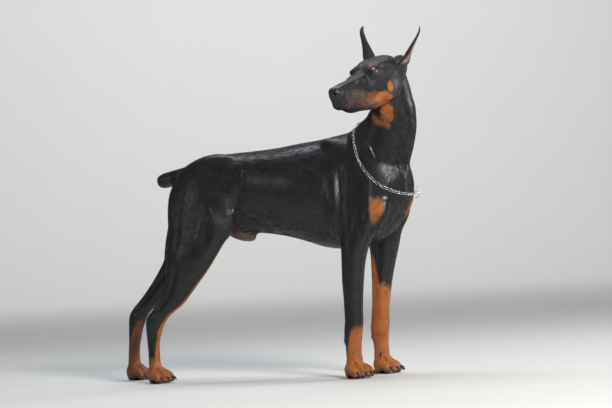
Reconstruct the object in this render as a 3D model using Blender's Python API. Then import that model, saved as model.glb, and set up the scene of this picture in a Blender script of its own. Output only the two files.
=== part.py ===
"""A life-size standing doberman, modelled whole as lofts and muscle shapes and then parted with thin cuts.

X points the way the body faces, Y to the animal's left and Z up, in metres, with the floor at zero.
"""

import math

import bmesh
import bpy
import numpy as np
from mathutils import Matrix, Vector
from mathutils.bvhtree import BVHTree

GAP = 0.0003
SHARP_ANGLE = math.radians(50)
VOXEL = 0.0045
HEAD_VOXEL = 0.0026
BODY_TRIANGLES = 6300
HEAD_TRIANGLES = 2300
HEAD_PASSES = 22
BOX_CENTRE = Vector((-0.0431, -0.0714, 0.0))

HEAD_AT = Vector((0.3985, -0.0145, 0.8886))
HEAD_YAW = math.radians(-110.7)
HEAD_PITCH = math.radians(12.3)
HEAD_ROLL = math.radians(-2.0)
HEAD_SCALE = 1.055
EYE_AT = Vector((0.129, 0.0380, 0.0235))
EYE_RADIUS = 0.0108
EYE_AXIS = Vector((0.62, 0.77, 0.12)).normalized()
LID_THICK = 0.0034
LID_HALF_LENGTH = 0.0112
LID_HALF_OPEN = 0.0040
LID_SLANT = 0.0014

# Each cross-section of the trunk: x, top, bottom, half width, and how high its widest level lies.
TRUNK = [
    (-0.345, 0.622, 0.545, 0.034, 0.50),
    (-0.325, 0.640, 0.500, 0.056, 0.55),
    (-0.290, 0.652, 0.465, 0.074, 0.60),
    (-0.235, 0.669, 0.448, 0.086, 0.62),
    (-0.170, 0.678, 0.440, 0.087, 0.62),
    (-0.100, 0.681, 0.436, 0.084, 0.60),
    (-0.040, 0.684, 0.430, 0.090, 0.57),
    (0.020, 0.689, 0.419, 0.100, 0.55),
    (0.080, 0.697, 0.402, 0.107, 0.52),
    (0.140, 0.703, 0.382, 0.108, 0.50),
    (0.200, 0.713, 0.374, 0.104, 0.48),
    (0.260, 0.722, 0.376, 0.101, 0.46),
    (0.320, 0.716, 0.394, 0.096, 0.44),
    (0.365, 0.680, 0.425, 0.082, 0.45),
    (0.400, 0.640, 0.465, 0.058, 0.48),
    (0.420, 0.600, 0.500, 0.034, 0.50),
]
# The neck, from the shoulders to the skull: centre, half depth, half width.
NECK = [
    ((0.270, 0.000, 0.590), 0.122, 0.084),
    ((0.322, 0.000, 0.655), 0.106, 0.078),
    ((0.363, -0.004, 0.715), 0.084, 0.070),
    ((0.383, -0.013, 0.765), 0.070, 0.062),
    ((0.389, -0.027, 0.810), 0.058, 0.057),
    ((0.391, -0.042, 0.850), 0.052, 0.053),
    ((0.396, -0.055, 0.885), 0.043, 0.045),
]
# Each level of a leg: z, rear edge x, front edge x, centre y, half width.
FORELEG_RIGHT = [
    (0.560, 0.205, 0.350, 0.066, 0.030),
    (0.480, 0.212, 0.352, 0.074, 0.036),
    (0.420, 0.220, 0.332, 0.082, 0.036),
    (0.375, 0.225, 0.312, 0.088, 0.034),
    (0.330, 0.225, 0.300, 0.090, 0.030),
    (0.280, 0.224, 0.293, 0.090, 0.027),
    (0.235, 0.225, 0.288, 0.090, 0.0245),
    (0.190, 0.226, 0.285, 0.090, 0.0235),
    (0.160, 0.225, 0.285, 0.090, 0.0245),
    (0.130, 0.221, 0.281, 0.090, 0.0240),
    (0.100, 0.224, 0.276, 0.090, 0.0220),
    (0.070, 0.225, 0.275, 0.091, 0.0225),
    (0.040, 0.226, 0.280, 0.092, 0.0240),
    (0.020, 0.230, 0.280, 0.092, 0.0220),
]
FORELEG_LEFT = [
    (0.560, 0.215, 0.360, 0.066, 0.030),
    (0.480, 0.225, 0.366, 0.074, 0.036),
    (0.420, 0.236, 0.350, 0.082, 0.036),
    (0.375, 0.242, 0.337, 0.088, 0.034),
    (0.330, 0.243, 0.323, 0.090, 0.030),
    (0.280, 0.243, 0.310, 0.090, 0.027),
    (0.235, 0.241, 0.301, 0.090, 0.0245),
    (0.190, 0.238, 0.295, 0.090, 0.0235),
    (0.160, 0.234, 0.294, 0.090, 0.0245),
    (0.130, 0.230, 0.291, 0.090, 0.0240),
    (0.100, 0.236, 0.287, 0.090, 0.0220),
    (0.070, 0.238, 0.286, 0.091, 0.0225),
    (0.040, 0.236, 0.288, 0.092, 0.0240),
    (0.020, 0.240, 0.288, 0.092, 0.0220),
]
HINDLEG_RIGHT = [
    (0.620, -0.320, -0.120, 0.042, 0.046),
    (0.560, -0.342, -0.106, 0.052, 0.050),
    (0.500, -0.345, -0.114, 0.062, 0.047),
    (0.450, -0.347, -0.126, 0.072, 0.043),
    (0.410, -0.348, -0.155, 0.081, 0.039),
    (0.370, -0.349, -0.181, 0.087, 0.036),
    (0.330, -0.351, -0.210, 0.090, 0.032),
    (0.290, -0.356, -0.245, 0.091, 0.028),
    (0.255, -0.372, -0.275, 0.091, 0.0255),
    (0.230, -0.392, -0.300, 0.091, 0.0240),
    (0.205, -0.418, -0.338, 0.091, 0.0235),
    (0.185, -0.427, -0.357, 0.091, 0.0225),
    (0.160, -0.427, -0.370, 0.091, 0.0205),
    (0.125, -0.425, -0.382, 0.091, 0.0190),
    (0.090, -0.423, -0.385, 0.091, 0.0190),
    (0.060, -0.423, -0.383, 0.092, 0.0205),
    (0.035, -0.422, -0.378, 0.092, 0.0230),
    (0.020, -0.418, -0.378, 0.092, 0.0220),
]
HINDLEG_LEFT = [
    (0.620, -0.325, -0.125, 0.042, 0.046),
    (0.560, -0.346, -0.125, 0.052, 0.050),
    (0.500, -0.366, -0.148, 0.060, 0.047),
    (0.450, -0.392, -0.185, 0.066, 0.043),
    (0.410, -0.412, -0.228, 0.071, 0.039),
    (0.370, -0.436, -0.275, 0.075, 0.036),
    (0.330, -0.462, -0.332, 0.077, 0.031),
    (0.290, -0.492, -0.388, 0.078, 0.028),
    (0.255, -0.522, -0.432, 0.078, 0.0255),
    (0.230, -0.548, -0.468, 0.078, 0.0240),
    (0.205, -0.567, -0.500, 0.078, 0.0235),
    (0.185, -0.573, -0.512, 0.078, 0.0225),
    (0.160, -0.574, -0.524, 0.078, 0.0205),
    (0.125, -0.576, -0.534, 0.078, 0.0190),
    (0.090, -0.579, -0.541, 0.078, 0.0190),
    (0.060, -0.582, -0.542, 0.079, 0.0205),
    (0.035, -0.584, -0.540, 0.079, 0.0230),
    (0.020, -0.582, -0.540, 0.079, 0.0220),
]
# The head along its own axis from the back of the skull to the nose:
# x, top, bottom, half width, share of the width kept at the top, and squareness.
HEAD = [
    (0.002, 0.016, -0.030, 0.028, 1.0, 2.0),
    (0.018, 0.036, -0.055, 0.045, 1.0, 2.0),
    (0.045, 0.048, -0.070, 0.054, 1.0, 2.2),
    (0.080, 0.051, -0.077, 0.057, 0.96, 2.4),
    (0.110, 0.051, -0.080, 0.054, 0.92, 2.5),
    (0.130, 0.045, -0.082, 0.047, 0.88, 2.5),
    (0.148, 0.031, -0.080, 0.041, 0.82, 2.4),
    (0.168, 0.022, -0.077, 0.0375, 0.76, 2.4),
    (0.195, 0.017, -0.074, 0.0345, 0.74, 2.5),
    (0.220, 0.0145, -0.068, 0.0330, 0.76, 2.6),
    (0.242, 0.0120, -0.057, 0.0305, 0.78, 2.6),
    (0.257, 0.0080, -0.038, 0.0250, 0.80, 2.4),
    (0.266, 0.0000, -0.022, 0.0150, 0.85, 2.2),
]

# Where the body is parted: a point on each plane and its normal.
HEAD_SEAM = (Vector((0.390, -0.040, 0.818)), Vector((0.10, -0.50, 0.86)).normalized())
NECK_SEAM = (Vector((0.350, 0.000, 0.632)), Vector((0.78, 0.00, 0.63)).normalized())
ELBOW_LEVEL = 0.366
PASTERN_LEVEL = 0.078
THIGH_LEVEL = 0.419
HOCK_LEVEL = 0.158
HIND_PAW_LEVEL = 0.066
TAIL_SEAM_X = -0.357
FLANK_SEAM_X = -0.062

# A claw's bend from its root: forward, up, half thickness.
CLAW_BEND = [
    (0.0000, 0.0000, 0.0046),
    (0.0110, 0.0010, 0.0040),
    (0.0165, -0.0035, 0.0028),
    (0.0195, -0.0100, 0.0008),
]
# Each foot: centre x, centre y, turn in degrees, toe reach, width.
PAWS = {
    "forepaw_right": (0.248, -0.092, -22.0, 0.056, 0.056),
    "forepaw_left": (0.262, 0.092, -8.0, 0.056, 0.056),
    "hindpaw_right": (-0.400, -0.092, -14.0, 0.052, 0.050),
    "hindpaw_left": (-0.562, 0.079, 6.0, 0.052, 0.050),
}
DEWCLAWS = {
    "forepaw_right": ((0.252, -0.074, 0.056), (0.262, -0.066, 0.040)),
    "forepaw_left": ((0.262, 0.074, 0.062), (0.270, 0.064, 0.046)),
}
# The collar's run down one side of the neck, from the nape to the chest.
COLLAR_RUN = [
    (0.275, 0.000, 0.742),
    (0.272, 0.045, 0.712),
    (0.285, 0.078, 0.655),
    (0.310, 0.092, 0.607),
    (0.350, 0.085, 0.562),
    (0.392, 0.055, 0.535),
    (0.428, 0.000, 0.526),
]
LINK_COUNT = 78
LINK_WIDE = (0.0043, 0.0019)
LINK_SLIM = (0.0030, 0.0024)
COLLAR_LIFT = 0.0046
# Each end ring: its place along the run from the front, its radius, how far it leans up from
# straight out, and whether it lies flat against the neck.
END_RINGS = (
    (3, 0.0125, math.radians(68), True),
    (1, 0.0085, math.radians(-14), False),
)
END_RING_THICK = 0.0014
# Each level of an ear: height share, width, cup depth, thickness, sway to the outside.
EAR = [
    (0.00, 0.036, 0.003, 0.0070, -0.003),
    (0.12, 0.045, 0.012, 0.0060, 0.000),
    (0.28, 0.041, 0.013, 0.0050, 0.002),
    (0.46, 0.028, 0.008, 0.0042, 0.004),
    (0.68, 0.0175, 0.0040, 0.0036, 0.008),
    (0.85, 0.0135, 0.0026, 0.0034, 0.009),
    (0.95, 0.0095, 0.0012, 0.0032, 0.0045),
    (1.00, 0.0045, 0.0004, 0.0028, -0.001),
]
EAR_FOOT = Vector((0.97, 0.02, 0.12)).normalized()
EAR_ACROSS = Vector((0.80, 0.56, 0.22)).normalized()
EAR_TURNED_AT = 0.40
EAR_SPREAD = 0.0565
EAR_RISE = {-1: 0.1145, 1: 0.1050}
EAR_SEAM = 0.42
MOUTH_DEEP = 0.0085
MOUTH_HALF_GAP = 0.0011
MOUTH_LINE = [
    (0.116, 0.0480, -0.0570),
    (0.132, 0.0440, -0.0605),
    (0.150, 0.0400, -0.0640),
    (0.172, 0.0350, -0.0655),
    (0.195, 0.0310, -0.0650),
    (0.213, 0.0270, -0.0630),
    (0.228, 0.0220, -0.0595),
    (0.238, 0.0100, -0.0565),
]

COAT = (0.012, 0.012, 0.014, 1.0)
TAN = (0.42, 0.15, 0.045, 1.0)
EYE_COLOUR = (0.055, 0.016, 0.008, 1.0)
CHAIN_COLOUR = (0.75, 0.76, 0.78, 1.0)


def clear_scene():
    for obj in list(bpy.data.objects):
        bpy.data.objects.remove(obj, do_unlink=True)


def material(name, colour, roughness, metallic=0.0):
    made = bpy.data.materials.new(name)
    made.use_nodes = True
    shader = made.node_tree.nodes["Principled BSDF"]
    shader.inputs["Base Color"].default_value = colour
    shader.inputs["Roughness"].default_value = roughness
    shader.inputs["Metallic"].default_value = metallic
    made.diffuse_color = colour
    return made


def object_of(name, shape):
    """Turns a bmesh into a linked object and frees it."""
    mesh = bpy.data.meshes.new(name)
    shape.to_mesh(mesh)
    shape.free()
    made = bpy.data.objects.new(name, mesh)
    bpy.context.collection.objects.link(made)
    return made


def discard(*objects):
    for obj in objects:
        bpy.data.objects.remove(obj, do_unlink=True)


def head_matrix():
    turn = (
        Matrix.Rotation(HEAD_YAW, 4, "Z")
        @ Matrix.Rotation(HEAD_PITCH, 4, "Y")
        @ Matrix.Rotation(HEAD_ROLL, 4, "X")
    )
    return Matrix.Translation(HEAD_AT) @ turn @ Matrix.Scale(HEAD_SCALE, 4)


def bridge(shape, rings, closed_loop=False):
    """Joins rings of equal count with quads, and caps the two ends unless they meet."""
    rows = [[shape.verts.new(point) for point in ring] for ring in rings]
    count = len(rows[0])
    pairs = list(zip(rows, rows[1:]))
    if closed_loop:
        pairs.append((rows[-1], rows[0]))
    for low, high in pairs:
        for i in range(count):
            j = (i + 1) % count
            shape.faces.new((low[i], low[j], high[j], high[i]))
    if not closed_loop:
        shape.faces.new(list(reversed(rows[0])))
        shape.faces.new(rows[-1])


def finished(name, shape):
    bmesh.ops.recalc_face_normals(shape, faces=shape.faces)
    return object_of(name, shape)


def smooth_rows(rows, steps):
    """Fills in between the rows of a table with a Catmull-Rom curve through them."""
    table = np.array(rows, dtype=float)
    padded = np.vstack([2 * table[0] - table[1], table, 2 * table[-1] - table[-2]])
    out = []
    for i in range(len(table) - 1):
        a, b, c, d = padded[i : i + 4]
        for k in range(steps):
            t = k / steps
            square, cube = 2 * a - 5 * b + 4 * c - d, 3 * b - a - 3 * c + d
            out.append(0.5 * (2 * b + (c - a) * t + square * t**2 + cube * t**3))
    out.append(table[-1])
    return np.array(out)


def bent(value, power):
    return math.copysign(abs(value) ** (2.0 / power), value)


def trunk():
    shape = bmesh.new()
    rings = []
    for x, top, bottom, half, level in smooth_rows(TRUNK, 3):
        middle = bottom + level * (top - bottom)
        ring = []
        for k in range(40):
            angle = 2 * math.pi * k / 40
            up = math.sin(angle)
            reach = top - middle if up > 0 else middle - bottom
            power = 2.0 if up > 0 else 1.85
            ring.append((x, half * bent(math.cos(angle), power), middle + reach * bent(up, power)))
        rings.append(ring)
    bridge(shape, rings)
    return finished("trunk", shape)


def tube(name, stations, side, around=28, steps=3):
    """A tube through centres, each with a half depth and a half width; side is its width direction."""
    rows = smooth_rows([(*centre, depth, width) for centre, depth, width in stations], steps)
    shape = bmesh.new()
    rings = []
    for i, row in enumerate(rows):
        before, after = rows[max(i - 1, 0)], rows[min(i + 1, len(rows) - 1)]
        along = Vector(after[:3] - before[:3]).normalized()
        across = (side - along * side.dot(along)).normalized()
        deep = along.cross(across)
        centre = Vector(row[:3])
        rings.append(
            [
                centre
                + deep * (row[3] * math.cos(2 * math.pi * k / around))
                + across * (row[4] * math.sin(2 * math.pi * k / around))
                for k in range(around)
            ]
        )
    bridge(shape, rings)
    return finished(name, shape)


def leg(name, levels, sign):
    shape = bmesh.new()
    rings = []
    for z, rear, front, y, half in smooth_rows(levels, 3):
        centre, reach = (rear + front) / 2, (front - rear) / 2
        ring = []
        for k in range(28):
            angle = 2 * math.pi * k / 28
            ring.append((centre + reach * math.cos(angle), sign * y + half * math.sin(angle), z))
        rings.append(ring)
    bridge(shape, rings)
    return finished(name, shape)


def muscle(start, end, wide, thick, normal):
    """A long rounded belly of flesh from one point to another, flat across its normal."""
    start, end, normal = Vector(start), Vector(end), Vector(normal)
    along = end - start
    length = along.length
    along.normalize()
    across = normal.cross(along).normalized()
    outward = along.cross(across)
    shape = bmesh.new()
    bmesh.ops.create_uvsphere(shape, u_segments=20, v_segments=12, radius=1.0)
    for vert in shape.verts:
        x, y, z = vert.co
        vert.co = (start + end) / 2 + along * (z * length / 2) + across * (x * wide) + outward * (y * thick)
    return finished("muscle", shape)


def ball(centre, sizes, turn=0.0):
    shape = bmesh.new()
    bmesh.ops.create_uvsphere(shape, u_segments=16, v_segments=10, radius=1.0)
    turned = Matrix.Translation(Vector(centre)) @ Matrix.Rotation(turn, 4, "Z")
    place = turned @ Matrix.Diagonal((*sizes, 1.0))
    bmesh.ops.transform(shape, matrix=place, verts=shape.verts)
    return finished("ball", shape)


def forequarter(sign, shift):
    """Shoulder, upper arm and triceps of one side, moved forward by shift at the elbow."""
    out, ahead = (0.0, sign, 0.15), (1, sign * 0.3, 0)
    elbow = (0.240 + shift, sign * 0.088, 0.395)
    point = (0.375 + shift * 0.3, sign * 0.070, 0.520)
    return [
        muscle((0.165, sign * 0.040, 0.700), point, 0.052, 0.034, out),
        muscle(point, elbow, 0.048, 0.032, out),
        muscle((0.190, sign * 0.072, 0.640), elbow, 0.050, 0.034, out),
        muscle((0.385, sign * 0.030, 0.560), (0.290, sign * 0.060, 0.400), 0.042, 0.034, ahead),
    ]


def hindquarter(sign, knee, hock):
    """Croup, thigh and calf muscles of one side, down to the given knee and hock."""
    out = (0.0, sign, 0.1)
    hip = (-0.240, sign * 0.060, 0.600)
    calf_top = (knee[0] - 0.03, sign * 0.090, knee[1] + 0.02)
    calf_end = (hock[0] + 0.03, sign * hock[2], hock[1])
    thigh_end = (hock[0] + 0.13, sign * 0.085, hock[1] + 0.10)
    return [
        muscle((-0.120, sign * 0.045, 0.655), (-0.320, sign * 0.045, 0.600), 0.048, 0.034, out),
        muscle(hip, (knee[0], sign * 0.088, knee[1]), 0.056, 0.036, out),
        muscle((-0.318, sign * 0.055, 0.600), thigh_end, 0.046, 0.034, out),
        muscle(calf_top, calf_end, 0.032, 0.022, out),
    ]


def toe_places(length, wide):
    """Each of the four toes of a foot: its reach, and how far to the side its root and tip lie."""
    places = []
    for i in range(4):
        side = i - 1.5
        reach = length - 0.006 * (abs(side) - 0.5) * 2
        places.append((reach, side * wide * 0.36, side * wide * 0.41))
    return places


def paw(x, y, turn, length, wide):
    """A foot with a heel pad and four arched toes, turned about the vertical by turn."""
    place = Matrix.Translation((x, y, 0)) @ Matrix.Rotation(turn, 4, "Z")

    def at(px, py, pz):
        return place @ Vector((px, py, pz))

    parts = [
        ball(at(0.004, 0, 0.027), (0.034, wide * 0.62, 0.026), turn),
        ball(at(-0.004, 0, 0.010), (0.021, wide * 0.50, 0.016), turn),
    ]
    for reach, y_root, y_tip in toe_places(length, wide):
        knuckle = at(reach * 0.50, (y_root + y_tip) / 2, 0.030)
        tip = at(reach * 0.82, y_tip, 0.0125)
        past_knuckle = knuckle + (knuckle - at(0, y_root, 0.032)) * 0.45
        past_tip = tip + (tip - knuckle) * 0.35
        parts.append(muscle(at(-0.004, y_root, 0.032), past_knuckle, 0.0130, 0.0125, (0, 0, 1)))
        parts.append(muscle(knuckle + Vector((0, 0, 0.006)), past_tip, 0.0130, 0.0135, (0, 0, 1)))
        parts.append(ball(tip + Vector((0, 0, -0.001)), (0.0135, 0.0105, 0.0125), turn))
    return parts


def claws(name, x, y, turn, length, wide, dewclaw=None):
    """Curved tapering claws for one foot, rooted well inside the toes."""
    place = Matrix.Translation((x, y, 0)) @ Matrix.Rotation(turn, 4, "Z")
    sideways = place.to_3x3() @ Vector((0, 1, 0))
    made = []
    for i, (reach, _, y_tip) in enumerate(toe_places(length, wide)):
        root = Vector((reach * 0.82 - 0.002, y_tip, 0.0155))
        stations = [(place @ (root + Vector((x, 0, z))), size, size * 0.72) for x, z, size in CLAW_BEND]
        made.append(tube(f"{name}{i}", stations, sideways, 6, 1))
    if dewclaw:
        root, tip = Vector(dewclaw[0]), Vector(dewclaw[1])
        middle = root.lerp(tip, 0.6) + Vector((0.002, 0, 0.001))
        stations = [(root, 0.0042, 0.003), (middle, 0.0030, 0.0022), (tip, 0.0008, 0.0006)]
        made.append(tube(f"{name}_dew", stations, Vector((0, 1, 0)), 6, 1))
    return made


def tail():
    stations = [
        ((-0.285, 0.000, 0.618), 0.034, 0.032),
        ((-0.325, 0.000, 0.616), 0.029, 0.028),
        ((-0.360, 0.000, 0.612), 0.026, 0.025),
        ((-0.388, 0.000, 0.607), 0.0245, 0.0235),
        ((-0.402, 0.000, 0.603), 0.019, 0.018),
        ((-0.409, 0.000, 0.601), 0.009, 0.008),
    ]
    return tube("tail", stations, Vector((0, 1, 0)), 20, 3)


def skull():
    shape = bmesh.new()
    rings = []
    for x, top, bottom, half, keep, power in smooth_rows(HEAD, 3):
        middle, reach = (top + bottom) / 2, (top - bottom) / 2
        ring = []
        for k in range(36):
            angle = 2 * math.pi * k / 36
            up = bent(math.sin(angle), power)
            width = half * (1 - (1 - keep) * (0.5 + 0.5 * up))
            if up < -0.2:
                width *= 1 - 0.25 * (-up - 0.2)
            ring.append((x, width * bent(math.cos(angle), power), middle + reach * up))
        rings.append(ring)
    bridge(shape, rings)
    return finished("skull", shape)


def eye_centre(sign):
    return Vector((EYE_AT.x, sign * EYE_AT.y, EYE_AT.z))


def face_shapes():
    """Nose, chin, lips, brows, cheeks, ear feet and the lids' round, in the head's own frame."""
    parts = [
        ball((0.2547, 0.0, -0.0045), (0.0165, 0.0212, 0.0172)),
        ball((0.188, 0.0, -0.0605), (0.040, 0.0215, 0.0160)),
        ball((0.060, 0.0, 0.028), (0.055, 0.042, 0.027)),
        muscle((0.254, 0, -0.014), (0.237, 0, -0.053), 0.025, 0.015, (1, 0, 0)),
    ]
    for sign in (-1, 1):
        out, up = (0, sign, 0.1), (0, sign, 1)
        parts.append(ball((0.238, sign * 0.013, -0.039), (0.017, 0.0165, 0.019)))
        parts.append(ball((0.148, sign * 0.0175, 0.003), (0.045, 0.0130, 0.021)))
        parts.append(ball((0.074, sign * 0.030, 0.0295), (0.046, 0.025, 0.0205)))
        parts.append(ball((0.110, sign * 0.027, 0.029), (0.031, 0.018, 0.0145)))
        parts.append(ball((0.114, sign * 0.031, 0.016), (0.031, 0.0175, 0.025)))
        parts.append(ball((0.078, sign * 0.039, -0.028), (0.046, 0.0200, 0.040)))
        parts.append(ball((0.046, sign * 0.042, 0.020), (0.036, 0.014, 0.020)))
        parts.append(muscle((0.056, sign * 0.038, 0.026), (0.014, sign * 0.054, 0.040), 0.016, 0.014, up))
        parts.append(muscle((0.136, sign * 0.040, -0.004), (0.058, sign * 0.055, 0.004), 0.010, 0.006, out))
        parts.append(muscle((0.048, sign * 0.043, -0.024), (0.018, sign * 0.054, 0.040), 0.021, 0.012, out))
        lip_start, lip_end = (0.247, sign * 0.016, -0.044), (0.118, sign * 0.0355, -0.058)
        parts.append(muscle(lip_start, lip_end, 0.0185, 0.0085, out))
        parts.append(ball(eye_centre(sign), (EYE_RADIUS + LID_THICK,) * 3))
    return parts


def merged(name, parts, voxel, passes, matrix=None):
    """Welds closed forms into one skin and relaxes it, so that the forms flow into each other."""
    shape = bmesh.new()
    for part in parts:
        shape.from_mesh(part.data)
    if matrix:
        bmesh.ops.transform(shape, matrix=matrix, verts=shape.verts)
    made = object_of(name, shape)
    discard(*parts)
    weld = made.modifiers.new("weld", "REMESH")
    weld.mode = "VOXEL"
    weld.voxel_size = voxel
    relax = made.modifiers.new("relax", "SMOOTH")
    relax.factor = 0.5
    relax.iterations = passes
    return applied(made)


def soften(obj, passes):
    """Relaxes the trunk, neck and thighs further, and leaves the head, shanks and feet crisp."""
    group = obj.vertex_groups.new(name="flesh")
    centre = HEAD_AT + head_matrix().to_3x3() @ Vector((0.13, 0, 0))
    for vert in obj.data.vertices:
        far = (vert.co - centre).length
        above_shanks = min(1.0, max(0.0, (vert.co.z - 0.30) / 0.10))
        share = above_shanks * min(1.0, max(0.0, (far - 0.15) / 0.06))
        group.add([vert.index], share, "REPLACE")
    relax = obj.modifiers.new("soften", "SMOOTH")
    relax.factor = 0.5
    relax.iterations = passes
    relax.vertex_group = "flesh"
    return applied(obj)


def applied(obj):
    """Replaces the object's mesh with what its modifiers make of it."""
    graph = bpy.context.evaluated_depsgraph_get()
    graph.update()
    mesh = bpy.data.meshes.new_from_object(obj.evaluated_get(graph))
    obj.modifiers.clear()
    obj.data = mesh
    return obj


def thinned(obj, triangles):
    made = obj.modifiers.new("thin", "DECIMATE")
    count = sum(len(face.vertices) - 2 for face in obj.data.polygons)
    made.ratio = min(1.0, triangles / count)
    made.use_collapse_triangulate = True
    return applied(obj)


def boolean(obj, other, operation, solver="EXACT"):
    made = obj.modifiers.new(operation.lower(), "BOOLEAN")
    made.operation = operation
    made.solver = solver
    if isinstance(other, bpy.types.Collection):
        made.operand_type = "COLLECTION"
        made.collection = other
    else:
        made.object = other
    return applied(obj)


def largest(obj):
    """Keeps only the largest closed surface of a mesh."""
    shape = bmesh.new()
    shape.from_mesh(obj.data)
    left = set(shape.verts)
    groups = []
    while left:
        stack = [left.pop()]
        group = list(stack)
        while stack:
            for edge in stack.pop().link_edges:
                for vert in edge.verts:
                    if vert in left:
                        left.remove(vert)
                        stack.append(vert)
                        group.append(vert)
        groups.append(group)
    groups.sort(key=len)
    for group in groups[:-1]:
        bmesh.ops.delete(shape, geom=group, context="VERTS")
    shape.to_mesh(obj.data)
    shape.free()
    return obj


def slab(centre, normal, radius, thick=GAP):
    """A thin round plate that parts a limb across."""
    shape = bmesh.new()
    turn = Vector(normal).to_track_quat("Z", "Y").to_matrix().to_4x4()
    place = Matrix.Translation(Vector(centre)) @ turn
    bmesh.ops.create_cone(
        shape, cap_ends=True, segments=24, radius1=radius, radius2=radius, depth=thick, matrix=place
    )
    return finished("slab", shape)


def block(low, high):
    shape = bmesh.new()
    bmesh.ops.create_cube(shape, size=1.0)
    low, high = Vector(low), Vector(high)
    place = Matrix.Translation((low + high) / 2) @ Matrix.Diagonal((*(high - low), 1.0))
    bmesh.ops.transform(shape, matrix=place, verts=shape.verts)
    return finished("block", shape)


def body_forms():
    """Every closed form of the animal except the head."""
    side = Vector((0, 1, 0))
    parts = [trunk(), tube("neck", NECK, side, 32, 4), tail()]
    parts.append(leg("foreleg_right", FORELEG_RIGHT, -1))
    parts.append(leg("foreleg_left", FORELEG_LEFT, 1))
    parts.append(leg("hindleg_right", HINDLEG_RIGHT, -1))
    parts.append(leg("hindleg_left", HINDLEG_LEFT, 1))
    parts += forequarter(-1, 0.0) + forequarter(1, 0.012)
    parts += hindquarter(-1, (-0.165, 0.405), (-0.405, 0.205, 0.091))
    parts += hindquarter(1, (-0.255, 0.405), (-0.555, 0.205, 0.078))
    for x, y, turn, length, wide in PAWS.values():
        parts += paw(x, y, math.radians(turn), length, wide)
    parts.append(ball((0.226, -0.090, 0.108), (0.011, 0.010, 0.011)))
    parts.append(ball((0.238, 0.090, 0.108), (0.011, 0.010, 0.011)))
    parts.append(muscle((-0.185, 0, 0.445), (-0.082, 0, 0.418), 0.019, 0.023, (0, 1, 0)))
    return parts


def ear_line(sign):
    """The root of one ear and the way from there to its tip, in the head's own frame."""
    return Vector((0.034, sign * 0.048, 0.014)), Vector((-0.044, sign * EAR_SPREAD, EAR_RISE[sign]))


def ear(sign):
    """A cropped upright ear: a tapering cup, open to the outside, as one closed sheet."""
    root, rise = ear_line(sign)
    shape = bmesh.new()
    count = 9
    rings = []
    for share, wide, cup, thick, sway in smooth_rows(EAR, 2):
        turned = min(1.0, share / EAR_TURNED_AT)
        turned *= turned * (3 - 2 * turned)
        across = EAR_FOOT.lerp(EAR_ACROSS, turned).normalized()
        across.y *= sign
        opening = rise.cross(across).normalized()
        if opening.y * sign < 0:
            opening = -opening
        centre = root + rise * share + Vector((0, sign * sway, 0))
        inner, outer = [], []
        for k in range(count):
            a = -1 + 2 * k / (count - 1)
            point = centre + across * (a * wide / 2) + opening * (cup * (abs(a) ** 1.8 - 0.25))
            slim = thick * 0.5 * (1 - 0.55 * abs(a) ** 4)
            inner.append(point + opening * slim)
            outer.append(point - opening * slim)
        rings.append(inner + outer[::-1])
    bridge(shape, rings)
    return finished("ear_left" if sign > 0 else "ear_right", shape)


def placed(obj, matrix):
    obj.data.transform(matrix)
    if matrix.determinant() < 0:
        obj.data.flip_normals()
    return obj


def beyond(seam, offset, radius=0.40, height=0.40):
    """A round block that holds all that lies beyond a seam."""
    point, normal = seam
    return slab(point + normal * (height / 2 + offset), normal, radius, height)


def mouth_cutter():
    run = [Vector(point) for point in MOUTH_LINE]
    path = run + [Vector((p.x, -p.y, p.z)) for p in reversed(run)]
    rows = smooth_rows([tuple(p) for p in path], 2)
    shape = bmesh.new()
    rings = []
    for i, row in enumerate(rows):
        before, after = rows[max(i - 1, 0)], rows[min(i + 1, len(rows) - 1)]
        along = Vector(after - before).normalized()
        deep = along.cross(Vector((0, 0, 1))).normalized()
        ring = []
        for k in range(8):
            angle = 2 * math.pi * k / 8
            height = Vector((0, 0, MOUTH_HALF_GAP * math.sin(angle)))
            ring.append(Vector(row) + deep * (MOUTH_DEEP * math.cos(angle)) + height)
        rings.append(ring)
    bridge(shape, rings)
    return finished("mouth_cutter", shape)


def eye_cutter(sign):
    """The almond opening between the lids of one eye."""
    eye = eye_centre(sign)
    axis = Vector((EYE_AXIS.x, sign * EYE_AXIS.y, EYE_AXIS.z))
    across = Vector((0, 0, 1)).cross(axis).normalized()
    up = axis.cross(across)
    shape = bmesh.new()
    low, high = [], []
    for k in range(20):
        angle = 2 * math.pi * k / 20
        along, open_up = math.cos(angle), math.sin(angle)
        rise = LID_HALF_OPEN * math.copysign(abs(open_up) ** 1.25, open_up) - sign * LID_SLANT * along
        offset = across * (LID_HALF_LENGTH * along) + up * rise
        low.append(eye + offset + axis * 0.002)
        high.append(eye + offset * 1.15 + axis * 0.022)
    bridge(shape, [low, high])
    return finished("eye_opening", shape)


def head_mesh():
    """The head with its mouth, nostrils and sockets cut, and both ears joined on."""
    frame = head_matrix()
    inner = [skull()] + face_shapes()
    for part in inner:
        placed(part, frame)
    neck = tube("neck", NECK[2:], Vector((0, 1, 0)), 32, 4)
    head = thinned(merged("head", inner + [neck], HEAD_VOXEL, HEAD_PASSES), HEAD_TRIANGLES)
    keep = beyond(HEAD_SEAM, GAP / 2)
    boolean(head, keep, "INTERSECT")
    discard(keep)
    cutters = [mouth_cutter()]
    for sign in (-1, 1):
        cutters.append(ball(eye_centre(sign), (EYE_RADIUS + GAP,) * 3))
        cutters.append(eye_cutter(sign))
        cutters.append(ball((0.270, sign * 0.0085, -0.0065), (0.010, 0.0040, 0.0036)))
        cutters.append(ball((0.264, sign * 0.0150, -0.0105), (0.008, 0.0055, 0.0018)))
    for cutter in cutters:
        placed(cutter, frame)
        boolean(head, cutter, "DIFFERENCE")
    discard(*cutters)
    for sign in (-1, 1):
        piece = placed(ear(sign), frame)
        boolean(head, piece, "UNION")
        discard(piece)
    largest(head)
    return head


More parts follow.
